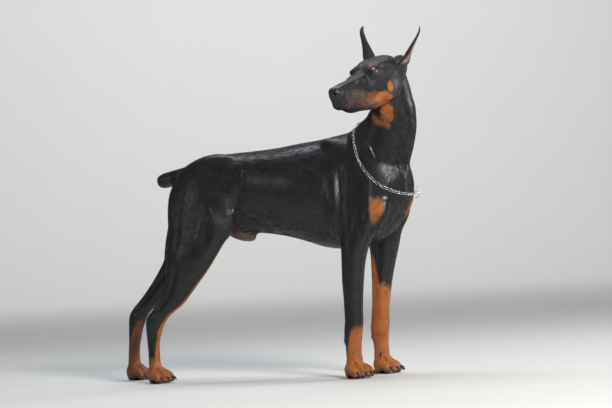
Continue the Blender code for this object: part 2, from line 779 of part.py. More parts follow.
def split_off(obj, cutters):
    """Cuts with thin plates and returns the loose pieces that are left."""
    for cutter in cutters:
        boolean(obj, cutter, "DIFFERENCE")
    discard(*cutters)
    shape = bmesh.new()
    shape.from_mesh(obj.data)
    left = set(shape.verts)
    pieces = []
    while left:
        stack = [left.pop()]
        group = set(stack)
        while stack:
            for edge in stack.pop().link_edges:
                for vert in edge.verts:
                    if vert in left:
                        left.remove(vert)
                        stack.append(vert)
                        group.add(vert)
        pieces.append(group)
    pieces.sort(key=len, reverse=True)
    made = []
    for group in pieces:
        piece = bmesh.new()
        lookup = {vert: piece.verts.new(vert.co) for vert in group}
        for face in shape.faces:
            if face.verts[0] in group:
                piece.faces.new([lookup[vert] for vert in face.verts])
        made.append(object_of("piece", piece))
    shape.free()
    discard(obj)
    return made


def centre_of(obj):
    corners = [Vector(corner) for corner in obj.bound_box]
    return sum(corners, Vector()) / 8


def named(pieces, places):
    """Names each piece after the nearest of the given places, and drops specks."""
    nodes = {}
    for name, place in places.items():
        best = min(pieces, key=lambda piece: (centre_of(piece) - Vector(place)).length)
        pieces.remove(best)
        best.name = name
        best.data.name = name
        nodes[name] = best
    discard(*pieces)
    return nodes


def part_body(body):
    """Parts the whole body below the head into its named pieces."""
    cutters = [beyond(HEAD_SEAM, -GAP / 2), block((-1, -1, -0.2), (1, 1, 0))]
    cutters.append(slab(NECK_SEAM[0], NECK_SEAM[1], 0.165))
    cutters.append(slab((TAIL_SEAM_X, 0, 0.613), (1, 0, -0.12), 0.045))
    cutters.append(slab((FLANK_SEAM_X, 0, 0.56), (1, 0, 0), 0.19))

    def plate(x, y_sign, level, reach=0.09, inner=0.02):
        low = (x - reach, min(y_sign * inner, y_sign * 0.2), level - GAP / 2)
        high = (x + reach, max(y_sign * inner, y_sign * 0.2), level + GAP / 2)
        return block(low, high)

    for sign in (-1, 1):
        cutters.append(plate(0.270, sign, ELBOW_LEVEL))
        cutters.append(plate(0.255, sign, PASTERN_LEVEL))
    cutters.append(plate(-0.250, -1, THIGH_LEVEL, 0.16, 0.03))
    cutters.append(plate(-0.310, 1, THIGH_LEVEL, 0.16, 0.03))
    cutters.append(plate(-0.400, -1, HOCK_LEVEL, 0.08))
    cutters.append(plate(-0.550, 1, HOCK_LEVEL, 0.08))
    cutters.append(plate(-0.400, -1, HIND_PAW_LEVEL, 0.08))
    cutters.append(plate(-0.560, 1, HIND_PAW_LEVEL, 0.08))
    pieces = split_off(body, cutters)
    places = {
        "torso": (0.18, 0.0, 0.55),
        "rump": (-0.20, 0.0, 0.55),
        "neck": (0.36, 0.0, 0.70),
        "tail": (-0.385, 0.0, 0.605),
        "foreleg_right": (0.26, -0.09, 0.22),
        "foreleg_left": (0.27, 0.09, 0.22),
        "forepaw_right": (0.265, -0.095, 0.038),
        "forepaw_left": (0.275, 0.092, 0.038),
        "hindleg_right": (-0.28, -0.09, 0.29),
        "hindleg_left": (-0.40, 0.08, 0.29),
        "hock_right": (-0.405, -0.091, 0.11),
        "hock_left": (-0.555, 0.078, 0.11),
        "hindpaw_right": (-0.385, -0.095, 0.033),
        "hindpaw_left": (-0.545, 0.080, 0.033),
    }
    return named(pieces, places)


def add_claws(nodes):
    """Fuses the claws into the foot that each grows from."""
    for name, (x, y, turn, length, wide) in PAWS.items():
        group = bpy.data.collections.new(name + "_claws")
        made = claws(name + "_claw", x, y, math.radians(turn), length, wide, DEWCLAWS.get(name))
        for claw in made:
            group.objects.link(claw)
        boolean(nodes[name], group, "UNION")
        discard(*made)
        bpy.data.collections.remove(group)
        largest(nodes[name])


def add_head(nodes):
    head = head_mesh()
    frame = head_matrix()
    cutters = []
    for sign in (-1, 1):
        root, rise = ear_line(sign)
        cutters.append(slab(frame @ (root + rise * EAR_SEAM), frame.to_3x3() @ rise, 0.032))
    pieces = split_off(head, cutters)
    places = {
        "head": frame @ Vector((0.13, 0, -0.01)),
        "ear_right": frame @ (ear_line(-1)[0] + ear_line(-1)[1] * 0.65),
        "ear_left": frame @ (ear_line(1)[0] + ear_line(1)[1] * 0.65),
    }
    nodes.update(named(pieces, places))
    for sign, name in ((-1, "eye_right"), (1, "eye_left")):
        nodes[name] = placed(ball(eye_centre(sign), (EYE_RADIUS,) * 3), frame)
        nodes[name].name = name


def collar_run(skin):
    """Where the collar lies: points round the neck, lifted off the skin, and the way out at each."""
    run = [Vector(point) for point in COLLAR_RUN]
    loop = np.array([(p.x, -p.y, p.z) for p in run] + [tuple(p) for p in reversed(run[1:-1])])
    lookup = BVHTree.FromObject(skin, bpy.context.evaluated_depsgraph_get())
    rounded = smooth_rows(np.vstack([loop, loop[:1]]), 12)[:-1]
    hits = [lookup.find_nearest(Vector(point)) for point in rounded]
    points = np.array([touch + out * COLLAR_LIFT for touch, out, _, _ in hits])
    outward = np.array([out for _, out, _, _ in hits])
    for _ in range(10):
        points = (np.roll(points, 1, 0) + 2 * points + np.roll(points, -1, 0)) / 4
        outward = (np.roll(outward, 1, 0) + 2 * outward + np.roll(outward, -1, 0)) / 4
    for i, point in enumerate(points):
        touch, out, _, _ = lookup.find_nearest(Vector(point))
        low = (Vector(point) - touch).dot(out)
        if low < COLLAR_LIFT:
            points[i] = point + np.array(out) * (COLLAR_LIFT - low)
    return points, outward


def chain_form(points, outward):
    """A flat curb chain as one closed form, swelling at each link."""
    steps = np.linalg.norm(np.roll(points, -1, 0) - points, axis=1)
    travel = np.concatenate([[0], np.cumsum(steps)])
    centres = np.vstack([points, points[:1]])
    turned = np.vstack([outward, outward[:1]])

    def at(table, s):
        return Vector([np.interp(s % travel[-1], travel, table[:, k]) for k in range(3)])

    rings = []
    for i in range(LINK_COUNT * 2):
        s = travel[-1] * i / (LINK_COUNT * 2)
        centre = at(centres, s)
        along = (at(centres, s + 0.002) - centre).normalized()
        wide = along.cross(at(turned, s)).normalized()
        out = wide.cross(along)
        half, deep = LINK_WIDE if i % 2 else LINK_SLIM
        turns = [math.pi * k / 3 for k in range(6)]
        rings.append([centre + wide * (half * math.cos(t)) + out * (deep * math.sin(t)) for t in turns])
    shape = bmesh.new()
    bridge(shape, rings, closed_loop=True)
    return finished("collar_chain", shape)


def end_ring(points, outward, place, radius, lean, flat):
    """One of the round rings that the chain ends in, hooked through it at the front of the neck."""
    front = int(np.argmax(points[:, 0])) + place
    centre, out = Vector(points[front]), Vector(outward[front]).normalized()
    along = (Vector(points[front + 1]) - centre).normalized()
    up = along.cross(out).normalized()
    up = up if up.z > 0 else -up
    reach = (out * math.cos(lean) + up * math.sin(lean)).normalized()
    side = along if flat else reach.cross(along).normalized()
    axis = reach.cross(side).normalized()
    rings = []
    for i in range(18):
        turn = 2 * math.pi * i / 18
        ray = reach * math.cos(turn) + side * math.sin(turn)
        middle = centre + (reach + ray) * radius
        turns = [2 * math.pi * k / 6 for k in range(6)]
        rings.append([middle + (ray * math.cos(t) + axis * math.sin(t)) * END_RING_THICK for t in turns])
    shape = bmesh.new()
    bridge(shape, rings, closed_loop=True)
    return finished("end_ring", shape)


def collar(skin):
    """The chain round the base of the neck, fused with its two end rings."""
    points, outward = collar_run(skin)
    chain = chain_form(points, outward)
    for place, radius, lean, flat in END_RINGS:
        ring = end_ring(points, outward, place, radius, lean, flat)
        boolean(chain, ring, "UNION")
        discard(ring)
    return largest(chain)


def build():
    clear_scene()
    coat = material("coat_black", COAT, 0.38)
    tan = material("coat_tan", TAN, 0.55)
    eye = material("eye_amber", EYE_COLOUR, 0.08)
    chain = material("chain_steel", CHAIN_COLOUR, 0.22, 1.0)
    forms = body_forms()
    frame = head_matrix()
    for part in [skull()] + face_shapes():
        forms.append(placed(part, frame))
    body = merged("body", forms, VOXEL, 5)
    largest(body)
    soften(body, 14)
    thinned(body, BODY_TRIANGLES)
    chain_node = collar(body)
    nodes = part_body(body)
    add_claws(nodes)
    add_head(nodes)
    nodes["collar_chain"] = chain_node
    shift = Matrix.Translation(-BOX_CENTRE)
    tan_nodes = ("forepaw_right", "forepaw_left", "hindpaw_right", "hindpaw_left")
    for name, obj in nodes.items():
        placed(obj, shift)
        slot = coat
        if name.startswith("eye"):
            slot = eye
        elif name == "collar_chain":
            slot = chain
        elif name in tan_nodes:
            slot = tan
        obj.data.materials.clear()
        obj.data.materials.append(slot)
        obj.data.polygons.foreach_set("use_smooth", [True] * len(obj.data.polygons))
        obj.data.set_sharp_from_angle(angle=SHARP_ANGLE)


build()
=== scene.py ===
"""A life-size standing doberman, as a museum shows one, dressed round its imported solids.

X points the way the body faces, Y to the animal's left and Z up, in metres, with the floor at zero.
"""

import math

import bmesh
import bpy
import numpy as np
from mathutils import Matrix, Vector
from mathutils.bvhtree import BVHTree


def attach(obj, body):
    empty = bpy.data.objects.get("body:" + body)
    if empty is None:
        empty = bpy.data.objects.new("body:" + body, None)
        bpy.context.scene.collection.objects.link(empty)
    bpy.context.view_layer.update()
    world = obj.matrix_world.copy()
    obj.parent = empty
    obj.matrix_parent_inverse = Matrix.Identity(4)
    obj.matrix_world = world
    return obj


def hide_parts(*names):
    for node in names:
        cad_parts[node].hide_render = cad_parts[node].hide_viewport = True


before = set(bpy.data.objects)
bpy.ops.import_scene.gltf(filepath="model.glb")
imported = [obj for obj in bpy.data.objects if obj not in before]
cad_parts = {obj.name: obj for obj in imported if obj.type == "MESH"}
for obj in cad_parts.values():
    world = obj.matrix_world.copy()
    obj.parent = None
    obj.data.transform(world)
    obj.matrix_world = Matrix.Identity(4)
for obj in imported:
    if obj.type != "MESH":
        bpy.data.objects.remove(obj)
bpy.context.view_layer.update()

# The head's flesh: skull, cheeks, lips and nose, built of full rounded forms in the head's own frame and
# welded to the top of the neck, with the two ears fused in. It is the upper part of the one skin.
HEAD_PLACE = (
    Matrix.Translation((0.4416, 0.0569, 0.8886))
    @ Matrix.Rotation(math.radians(-110.7), 4, "Z")
    @ Matrix.Rotation(math.radians(12.3), 4, "Y")
    @ Matrix.Rotation(math.radians(-2.0), 4, "X")
    @ Matrix.Scale(1.055, 4)
)
HEAD_GRAIN = 0.0020
SKULL_AROUND = 48
NECK_AROUND = 40
LUMP_AROUND, LUMP_ALONG = 28, 18
# x, top, bottom, half width, share of the width kept at the top, squareness
SKULL = [
    (0.002, 0.016, -0.030, 0.028, 1.0, 2.0),
    (0.018, 0.036, -0.055, 0.045, 1.0, 2.0),
    (0.045, 0.048, -0.070, 0.054, 1.0, 2.2),
    (0.080, 0.051, -0.077, 0.057, 0.96, 2.4),
    (0.110, 0.051, -0.080, 0.054, 0.92, 2.5),
    (0.130, 0.045, -0.082, 0.047, 0.88, 2.5),
    (0.148, 0.031, -0.080, 0.041, 0.82, 2.4),
    (0.168, 0.022, -0.077, 0.0375, 0.76, 2.4),
    (0.195, 0.017, -0.074, 0.0345, 0.74, 2.5),
    (0.220, 0.0145, -0.068, 0.0330, 0.76, 2.6),
    (0.242, 0.0120, -0.057, 0.0305, 0.78, 2.6),
    (0.257, 0.0080, -0.038, 0.0250, 0.80, 2.4),
    (0.266, 0.0000, -0.022, 0.0150, 0.85, 2.2),
]
# centre, half depth, half width of the neck's upper end
NAPE = [
    ((0.4061, 0.0674, 0.715), 0.084, 0.070),
    ((0.4261, 0.0584, 0.765), 0.070, 0.062),
    ((0.4321, 0.0444, 0.810), 0.058, 0.057),
    ((0.4341, 0.0294, 0.850), 0.052, 0.053),
    ((0.4391, 0.0164, 0.885), 0.043, 0.045),
]
# share of the height, width, cup depth, thickness, sway to the side
EAR = [
    (0.00, 0.036, 0.003, 0.0070, -0.003),
    (0.12, 0.045, 0.012, 0.0060, 0.000),
    (0.28, 0.041, 0.013, 0.0050, 0.002),
    (0.46, 0.028, 0.008, 0.0042, 0.004),
    (0.68, 0.0175, 0.0040, 0.0036, 0.008),
    (0.85, 0.0135, 0.0026, 0.0034, 0.009),
    (0.95, 0.0095, 0.0012, 0.0032, 0.0045),
    (1.00, 0.0045, 0.0004, 0.0028, -0.001),
]
# The way across an ear, at its foot along the side of the skull and higher up turned outward.
EAR_FOOT = Vector((0.97, 0.02, 0.12)).normalized()
EAR_ACROSS = Vector((0.80, 0.56, 0.22)).normalized()
EAR_TURNED_AT = 0.40
EAR_SPREAD = 0.0565
EAR_RISE = {-1: 0.1145, 1: 0.1050}


def through(rows, steps):
    """Rows of a table filled in along a smooth curve that passes through each of them."""
    table = np.array(rows, dtype=float)
    ends = np.vstack([2 * table[0] - table[1], table, 2 * table[-1] - table[-2]])
    out = []
    for i in range(len(table) - 1):
        a, b, c, d = ends[i : i + 4]
        for k in range(steps):
            t = k / steps
            bend, twist = 2 * a - 5 * b + 4 * c - d, 3 * b - a - 3 * c + d
            out.append(0.5 * (2 * b + (c - a) * t + bend * t**2 + twist * t**3))
    out.append(table[-1])
    return np.array(out)


def lofted(rings):
    """A closed form through rings of equal count."""
    form = bmesh.new()
    rows = [[form.verts.new(point) for point in ring] for ring in rings]
    count = len(rows[0])
    for low, high in zip(rows, rows[1:]):
        for i in range(count):
            j = (i + 1) % count
            form.faces.new((low[i], low[j], high[j], high[i]))
    form.faces.new(list(reversed(rows[0])))
    form.faces.new(rows[-1])
    bmesh.ops.recalc_face_normals(form, faces=form.faces)
    return form


def squared(value, power):
    return math.copysign(abs(value) ** (2.0 / power), value)


def turns(count):
    """Even turns once round."""
    return [2 * math.pi * k / count for k in range(count)]


def skull_form():
    rings = []
    for x, top, bottom, half, keep, power in through(SKULL, 4):
        middle, reach = (top + bottom) / 2, (top - bottom) / 2
        ring = []
        for angle in turns(SKULL_AROUND):
            up = squared(math.sin(angle), power)
            width = half * (1 - (1 - keep) * (0.5 + 0.5 * up))
            if up < -0.2:
                width *= 1 - 0.25 * (-up - 0.2)
            ring.append((x, width * squared(math.cos(angle), power), middle + reach * up))
        rings.append(ring)
    return lofted(rings)


def bent_form(rows, sideways, around):
    """A bent round form through rows of centre, half depth and half width."""
    rings = []
    for i, row in enumerate(rows):
        before, after = rows[max(i - 1, 0)], rows[min(i + 1, len(rows) - 1)]
        along = Vector(after[:3] - before[:3]).normalized()
        across = (sideways - along * sideways.dot(along)).normalized()
        deep = along.cross(across)
        centre, high, wide = Vector(row[:3]), row[3], row[4]
        rings.append(
            [centre + deep * (high * math.cos(t)) + across * (wide * math.sin(t)) for t in turns(around)]
        )
    return lofted(rings)


def ball_form():
    form = bmesh.new()
    bmesh.ops.create_uvsphere(form, u_segments=LUMP_AROUND, v_segments=LUMP_ALONG, radius=1.0)
    return form


def lump(centre, sizes):
    form = ball_form()
    place = Matrix.Translation(centre) @ Matrix.Diagonal((*sizes, 1.0))
    bmesh.ops.transform(form, matrix=place, verts=form.verts)
    return form


def belly(start, end, wide, thick, normal):
    """A long rounded muscle from one point to another, flat across its normal."""
    start, end, normal = Vector(start), Vector(end), Vector(normal)
    along = (end - start).normalized()
    across = normal.cross(along).normalized()
    outward = along.cross(across)
    half_long = (end - start).length / 2
    form = ball_form()
    for vert in form.verts:
        x, y, z = vert.co
        vert.co = (start + end) / 2 + along * (z * half_long) + across * (x * wide) + outward * (y * thick)
    bmesh.ops.recalc_face_normals(form, faces=form.faces)
    return form


def ear_line(side):
    """The root of one ear and the way from there to its tip."""
    return Vector((0.034, side * 0.048, 0.014)), Vector((-0.044, side * EAR_SPREAD, EAR_RISE[side]))


def ear_form(side):
    """A cropped upright ear: a tapering cup as one closed sheet, open outward and back."""
    root, rise = ear_line(side)
    rings = []
    for share, wide, cup, thick, sway in through(EAR, 8):
        turned = min(1.0, share / EAR_TURNED_AT)
        turned *= turned * (3 - 2 * turned)
        across = EAR_FOOT.lerp(EAR_ACROSS, turned).normalized()
        across.y *= side
        opening = rise.cross(across).normalized()
        if opening.y * side < 0:
            opening = -opening
        centre = root + rise * share + Vector((0, side, 0)) * sway
        inner, outer = [], []
        for k in range(25):
            a = -1 + 2 * k / 24
            point = centre + across * (a * wide / 2) + opening * (cup * (abs(a) ** 1.8 - 0.25))
            slim = thick * 0.5 * (1 - 0.55 * abs(a) ** 4)
            inner.append(point + opening * slim)
            outer.append(point - opening * slim)
        rings.append(inner + outer[::-1])
    return lofted(rings)


EYE_AT = Vector((0.129, 0.0380, 0.0235))
EYE_RADIUS = 0.0108
SOCKET_ROOM = 0.0004


def eye_centre(side):
    return Vector((EYE_AT.x, side * EYE_AT.y, EYE_AT.z))


def head_forms():
    """The nose, chin, brows, lips, jaw muscles and eye sockets over the skull, and the neck's end."""
    forms = [
        skull_form(),
        lump((0.2555, 0.0, -0.0045), (0.0155, 0.0195, 0.0155)),
        lump((0.188, 0.0, -0.0605), (0.040, 0.0215, 0.0155)),
        lump((0.060, 0.0, 0.028), (0.055, 0.042, 0.027)),
        belly((0.254, 0, -0.014), (0.237, 0, -0.053), 0.025, 0.015, (1, 0, 0)),
    ]
    for side in (-1, 1):
        forms += [
            lump((0.238, side * 0.013, -0.039), (0.017, 0.0165, 0.019)),
            lump((0.148, side * 0.0175, 0.003), (0.045, 0.0130, 0.021)),
            lump((0.074, side * 0.030, 0.0295), (0.046, 0.025, 0.0205)),
            belly((0.056, side * 0.038, 0.026), (0.014, side * 0.054, 0.040), 0.016, 0.014, (0, side, 1)),
            lump((0.110, side * 0.027, 0.029), (0.031, 0.018, 0.0135)),
            lump((0.114, side * 0.031, 0.016), (0.031, 0.0175, 0.025)),
            lump((0.078, side * 0.0375, -0.028), (0.046, 0.0195, 0.040)),
            belly((0.136, side * 0.040, -0.004), (0.058, side * 0.055, 0.004), 0.010, 0.006, (0, side, 0)),
            belly((0.048, side * 0.043, -0.024), (0.018, side * 0.054, 0.040), 0.021, 0.012, (0, side, 0.3)),
            belly(
                (0.247, side * 0.016, -0.044), (0.118, side * 0.0345, -0.058), 0.0185, 0.008, (0, side, 0.1)
            ),
            lump((0.046, side * 0.042, 0.020), (0.036, 0.014, 0.020)),
            lump(eye_centre(side), (EYE_RADIUS + SOCKET_ROOM,) * 3),
        ]
    for form in forms:
        bmesh.ops.transform(form, matrix=HEAD_PLACE, verts=form.verts)
    nape = through([(*centre, depth, width) for centre, depth, width in NAPE], 4)
    return forms + [bent_form(nape, Vector((0, 1, 0)), NECK_AROUND)]


def object_from(name, forms):
    whole = bpy.data.meshes.new(name)
    joined = bmesh.new()
    for form in forms:
        form.to_mesh(whole)
        joined.from_mesh(whole)
        form.free()
    joined.to_mesh(whole)
    joined.free()
    made = bpy.data.objects.new(name, whole)
    bpy.context.scene.collection.objects.link(made)
    return made


def welded(made, grain):
    """Welds closed forms into one skin of even quads."""
    weld = made.modifiers.new("weld", "REMESH")
    weld.mode = "VOXEL"
    weld.voxel_size = grain
    graph = bpy.context.evaluated_depsgraph_get()
    mesh = bpy.data.meshes.new_from_object(made.evaluated_get(graph))
    bpy.data.objects.remove(made, do_unlink=True)
    return mesh


def points_of(mesh):
    out = np.empty(len(mesh.vertices) * 3)
    mesh.vertices.foreach_get("co", out)
    return out.reshape(-1, 3)


def edges_of(mesh):
    out = np.empty(len(mesh.edges) * 2, dtype=np.int64)
    mesh.edges.foreach_get("vertices", out)
    return out.reshape(-1, 2)


def relaxed(points, edges, passes, share=None, swell=0.0):
    """Evens out a surface; swell gives back what each pass would shrink."""
    a, b = edges.T
    total = len(points)
    count = np.maximum(np.bincount(a, minlength=total) + np.bincount(b, minlength=total), 1)[:, None]
    share = 1.0 if share is None else share[:, None]
    steps = (0.5, -0.5 * swell) if swell else (0.5,)
    for _ in range(passes):
        for step in steps:
            near = np.empty_like(points)
            for k in range(3):
                near[:, k] = np.bincount(a, points[b, k], total) + np.bincount(b, points[a, k], total)
            points = points + (near / count - points) * (step * share)
    return points


head_mesh = welded(object_from("head_forms", head_forms()), HEAD_GRAIN)

# The body's flesh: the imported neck, trunk, limbs and paws, drawn together into one surface that is cut
# off under the throat and sewn to the head. It is the lower part of the one skin.
BODY_NODES = (
    "head", "neck", "torso", "rump", "tail",
    "foreleg_left", "foreleg_right", "forepaw_left", "forepaw_right",
    "hindleg_left", "hindleg_right", "hock_left", "hock_right", "hindpaw_left", "hindpaw_right",
)
BODY_GRAIN = 0.0048
MIDLINE = 0.0714
THROAT_AT = Vector((0.4321, 0.0594, 0.765))
THROAT_NORMAL = Vector((0.085, -0.296, 0.951)).normalized()
THROAT_GAP = 0.0030
FEET_TOP = 0.082


def packed_form(name):
    form = bmesh.new()
    form.from_mesh(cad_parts[name].data)
    return form


body_mesh = welded(object_from("body_forms", [packed_form(name) for name in BODY_NODES]), BODY_GRAIN)
body_points = relaxed(points_of(body_mesh), edges_of(body_mesh), 12, swell=0.9)
body_mesh.vertices.foreach_set("co", body_points.ravel())
head_points = relaxed(points_of(head_mesh), edges_of(head_mesh), 50, swell=0.85)
head_mesh.vertices.foreach_set("co", head_points.ravel())


def with_ears(mesh):
    """Fuses both ears into the head, each as one thin closed cup."""
    whole = bpy.data.objects.new("head_whole", mesh)
    bpy.context.scene.collection.objects.link(whole)
    for side in (-1, 1):
        form = ear_form(side)
        bmesh.ops.transform(form, matrix=HEAD_PLACE, verts=form.verts)
        one_ear = object_from("ear_form", [form])
        fuse = whole.modifiers.new("fuse", "BOOLEAN")
        fuse.operation = "UNION"
        fuse.solver = "EXACT"
        fuse.object = one_ear
        graph = bpy.context.evaluated_depsgraph_get()
        whole.data = bpy.data.meshes.new_from_object(whole.evaluated_get(graph))
        whole.modifiers.clear()
        bpy.data.objects.remove(one_ear, do_unlink=True)
    out = whole.data
    bpy.data.objects.remove(whole, do_unlink=True)
    return out


head_mesh = with_ears(head_mesh)


def cut_form(mesh, offset, keep_above):
    form = bmesh.new()
    form.from_mesh(mesh)
    bmesh.ops.bisect_plane(
        form,
        geom=form.verts[:] + form.edges[:] + form.faces[:],
        plane_co=THROAT_AT + THROAT_NORMAL * offset,
        plane_no=THROAT_NORMAL,
        clear_inner=keep_above,
        clear_outer=not keep_above,
    )
    return form


def largest_of(form):
    """Drops every loose scrap but the largest surface."""
    left = set(form.verts)
    groups = []
    while left:
        stack = [left.pop()]
        group = list(stack)
        while stack:
            for edge in stack.pop().link_edges:
                for vert in edge.verts:
                    if vert in left:
                        left.remove(vert)
                        stack.append(vert)
                        group.append(vert)
        groups.append(group)
    groups.sort(key=len)
    for group in groups[:-1]:
        bmesh.ops.delete(form, geom=group, context="VERTS")


def sewn_skin():
    """Sews the head onto the neck, and splits the faces finer where the animal has fine forms."""
    upper = cut_form(head_mesh, THROAT_GAP / 2, True)
    lower = cut_form(body_mesh, -THROAT_GAP / 2, False)
    largest_of(upper)
    largest_of(lower)
    halves = object_from("skin", [upper, lower])
    form = bmesh.new()
    form.from_mesh(halves.data)
    rims = [edge for edge in form.edges if edge.is_boundary]
    bmesh.ops.bridge_loops(form, edges=rims)
    to_head = HEAD_PLACE.inverted()

    def split(wanted):
        edges = {edge for face in form.faces if wanted(face.calc_center_median()) for edge in face.edges}
        bmesh.ops.subdivide_edges(form, edges=list(edges), cuts=1, use_grid_fill=True)

    def by_the_mouth(point):
        q = to_head @ point
        lips = 0.132 < q.x < 0.30 and -0.074 < q.z < -0.046
        return abs(q.y) < 0.06 and (lips or 0.236 < q.x < 0.30 and -0.06 < q.z < 0.02)

    def by_an_eye(reach):
        return lambda point: min(((to_head @ point) - eye_centre(side)).length for side in (-1, 1)) < reach

    split(lambda point: point.z < FEET_TOP)
    split(by_the_mouth)
    split(by_an_eye(0.019))
    split(by_an_eye(0.0135))
    bmesh.ops.triangulate(form, faces=[face for face in form.faces if len(face.verts) > 4])
    form.to_mesh(halves.data)
    form.free()
    return halves


skin = sewn_skin()
skin_points = points_of(skin.data)
skin_edges = edges_of(skin.data)


def smooth_step(low, high, value):
    t = np.clip((value - low) / (high - low), 0.0, 1.0)
    return t * t * (3 - 2 * t)


def above_throat(points):
    return (points - np.array(THROAT_AT)) @ np.array(THROAT_NORMAL)


def near_throat(points):
    return smooth_step(0.022, 0.008, np.abs(above_throat(points)))


skin_points = relaxed(skin_points, skin_edges, 30, near_throat(skin_points))


def head_frame(points):
    """Points in the head's own frame: forward, left and up from the back of the skull."""
    back = np.array(HEAD_PLACE.inverted())
    return points @ back[:3, :3].T + back[:3, 3]


def row_frame(points):
    out = np.array(HEAD_PLACE)
    return points @ out[:3, :3].T + out[:3, 3]


def along_ear(q, side):
    """How far up an ear each point of the head's frame lies, as a share of it, and how far off its line."""
    root, rise = (np.array(v) for v in ear_line(side))
    up = ((q - root) @ rise) / (rise @ rise)
    return up, np.linalg.norm(q - root - up[:, None] * rise, axis=1)


def near_ear_root(points):
    """Where each ear's flesh runs over into the skull's."""
    share = np.zeros(len(points))
    for side in (-1, 1):
        up, off = along_ear(head_frame(points), side)
        near = smooth_step(0.45, 0.20, up) * smooth_step(0.055, 0.035, off) * (up > -0.4)
        share = np.maximum(share, near)
    return share


skin_points = relaxed(skin_points, skin_edges, 14, near_ear_root(skin_points), swell=0.5)


def normals_of(points):
    skin.data.vertices.foreach_set("co", points.ravel())
    skin.data.update()
    out = np.empty(len(points) * 3)
    skin.data.vertex_normals.foreach_get("vector", out)
    return out.reshape(-1, 3)


def run_distance(points, run):
    """Distance of each point from a smooth line, and how far along it the nearest place lies, from 0 to 1."""
    line = through(run, 6)
    best = np.full(len(points), 1e9)
    where = np.zeros(len(points))
    for i in range(len(line) - 1):
        a, b = line[i], line[i + 1]
        t = np.clip(((points - a) @ (b - a)) / ((b - a) @ (b - a)), 0, 1)
        gap = np.linalg.norm(points - a - t[:, None] * (b - a), axis=1)
        closer = gap < best
        best[closer] = gap[closer]
        where[closer] = (i + t[closer]) / (len(line) - 1)
    return best, where


def both_sides(run):
    return [[(x, side * y, z) for x, y, z in run] for side in (-1, 1)]


# Folds and ridges of the face, in the head's frame: run, width, height.
FACE_FOLDS = [
    ([(0.150, 0.023, 0.020), (0.150, 0.031, 0.006), (0.140, 0.040, -0.004)], 0.0070, -0.0008),
    ([(0.124, 0.041, 0.042), (0.112, 0.046, 0.037), (0.098, 0.0485, 0.029)], 0.0040, -0.0011),
    ([(0.118, 0.045, 0.006), (0.108, 0.050, 0.012), (0.098, 0.052, 0.020)], 0.0040, -0.0012),
    ([(0.232, 0.027, -0.014), (0.205, 0.031, -0.024), (0.175, 0.036, -0.034)], 0.0090, 0.0014),
    ([(0.236, 0.022, 0.002), (0.205, 0.026, 0.000), (0.172, 0.030, -0.006)], 0.0060, -0.0010),
    ([(0.150, 0.040, -0.052), (0.134, 0.044, -0.050), (0.122, 0.047, -0.044)], 0.0050, -0.0018),
    ([(0.128, 0.038, -0.070), (0.105, 0.046, -0.066), (0.085, 0.052, -0.052)], 0.0070, -0.0022),
    ([(0.070, 0.058, -0.002), (0.050, 0.060, -0.030), (0.048, 0.052, -0.058)], 0.0100, -0.0020),
    ([(0.140, 0.000, 0.040), (0.110, 0.000, 0.053), (0.075, 0.000, 0.056)], 0.0070, -0.0022),
    ([(0.172, 0.014, 0.020), (0.205, 0.012, 0.0165), (0.236, 0.010, 0.0125)], 0.0055, 0.0010),
]
# The line between the lips, from the corner of the mouth forward and round below the nose.
LIP_LINE = [
    (0.132, 0.0420, -0.0600),
    (0.150, 0.0385, -0.0640),
    (0.170, 0.0345, -0.0660),
    (0.195, 0.0300, -0.0655),
    (0.213, 0.0260, -0.0630),
    (0.228, 0.0200, -0.0600),
    (0.2370, 0.0080, -0.0570),
    (0.2375, -0.0080, -0.0570),
]


def creased(points, run, width, height):
    """Raises or sinks the face along a run, fading out at its ends."""
    gap, where = run_distance(head_frame(points), run)
    fade = smooth_step(0.0, 0.18, where) * smooth_step(1.0, 0.82, where)
    amount = height * np.exp(-((gap / width) ** 2)) * fade
    return points + normals_of(points) * amount[:, None]


for fold_run, fold_width, fold_height in FACE_FOLDS:
    on_midline = fold_run[0][1] == 0
    for run in both_sides(fold_run)[: 1 if on_midline else 2]:
        skin_points = creased(skin_points, run, fold_width, fold_height)


LIP_SIDE = LIP_LINE[:7]
CLEFT_DEPTH, CLEFT_WIDTH = 0.0050, 0.0017
JAW_SET_IN, JAW_WIDTH = 0.0022, 0.009
LIP_ROLL, LIP_ROLL_AT, LIP_ROLL_WIDTH = 0.0016, 0.004, 0.0035


def lip_level(forward):
    """How high the line between the lips runs, this far forward in the head's frame."""
    line = np.array(LIP_SIDE)
    return np.interp(forward, line[:, 0], line[:, 2])


def lip_gap(q):
    """Distance from the line between the lips, on either side of the face."""
    return np.minimum(*[run_distance(q, run)[0] for run in both_sides(LIP_LINE)])


def with_mouth(points):
    """A closed mouth: the upper lip hangs over a lower jaw that is set in beneath it."""
    q = head_frame(points)
    forward, aside, level = q.T
    near = (forward > 0.10) & (forward < 0.30) & (np.abs(aside) < 0.07) & (level < -0.02) & (level > -0.1)
    index = np.nonzero(near)[0]
    q = q[index]
    gap = lip_gap(q)
    cleft = -CLEFT_DEPTH * np.exp(-((gap / CLEFT_WIDTH) ** 2))
    jaw = -JAW_SET_IN * np.exp(-((gap / JAW_WIDTH) ** 2))
    lip = LIP_ROLL * np.exp(-(((gap - LIP_ROLL_AT) / LIP_ROLL_WIDTH) ** 2))
    rolled = np.where(q[:, 2] < lip_level(q[:, 0]), jaw, lip)
    shift = np.zeros(len(points))
    shift[index] = (cleft + rolled) * smooth_step(0.128, 0.142, q[:, 0])
    return points + normals_of(points) * shift[:, None]


skin_points = with_mouth(skin_points)

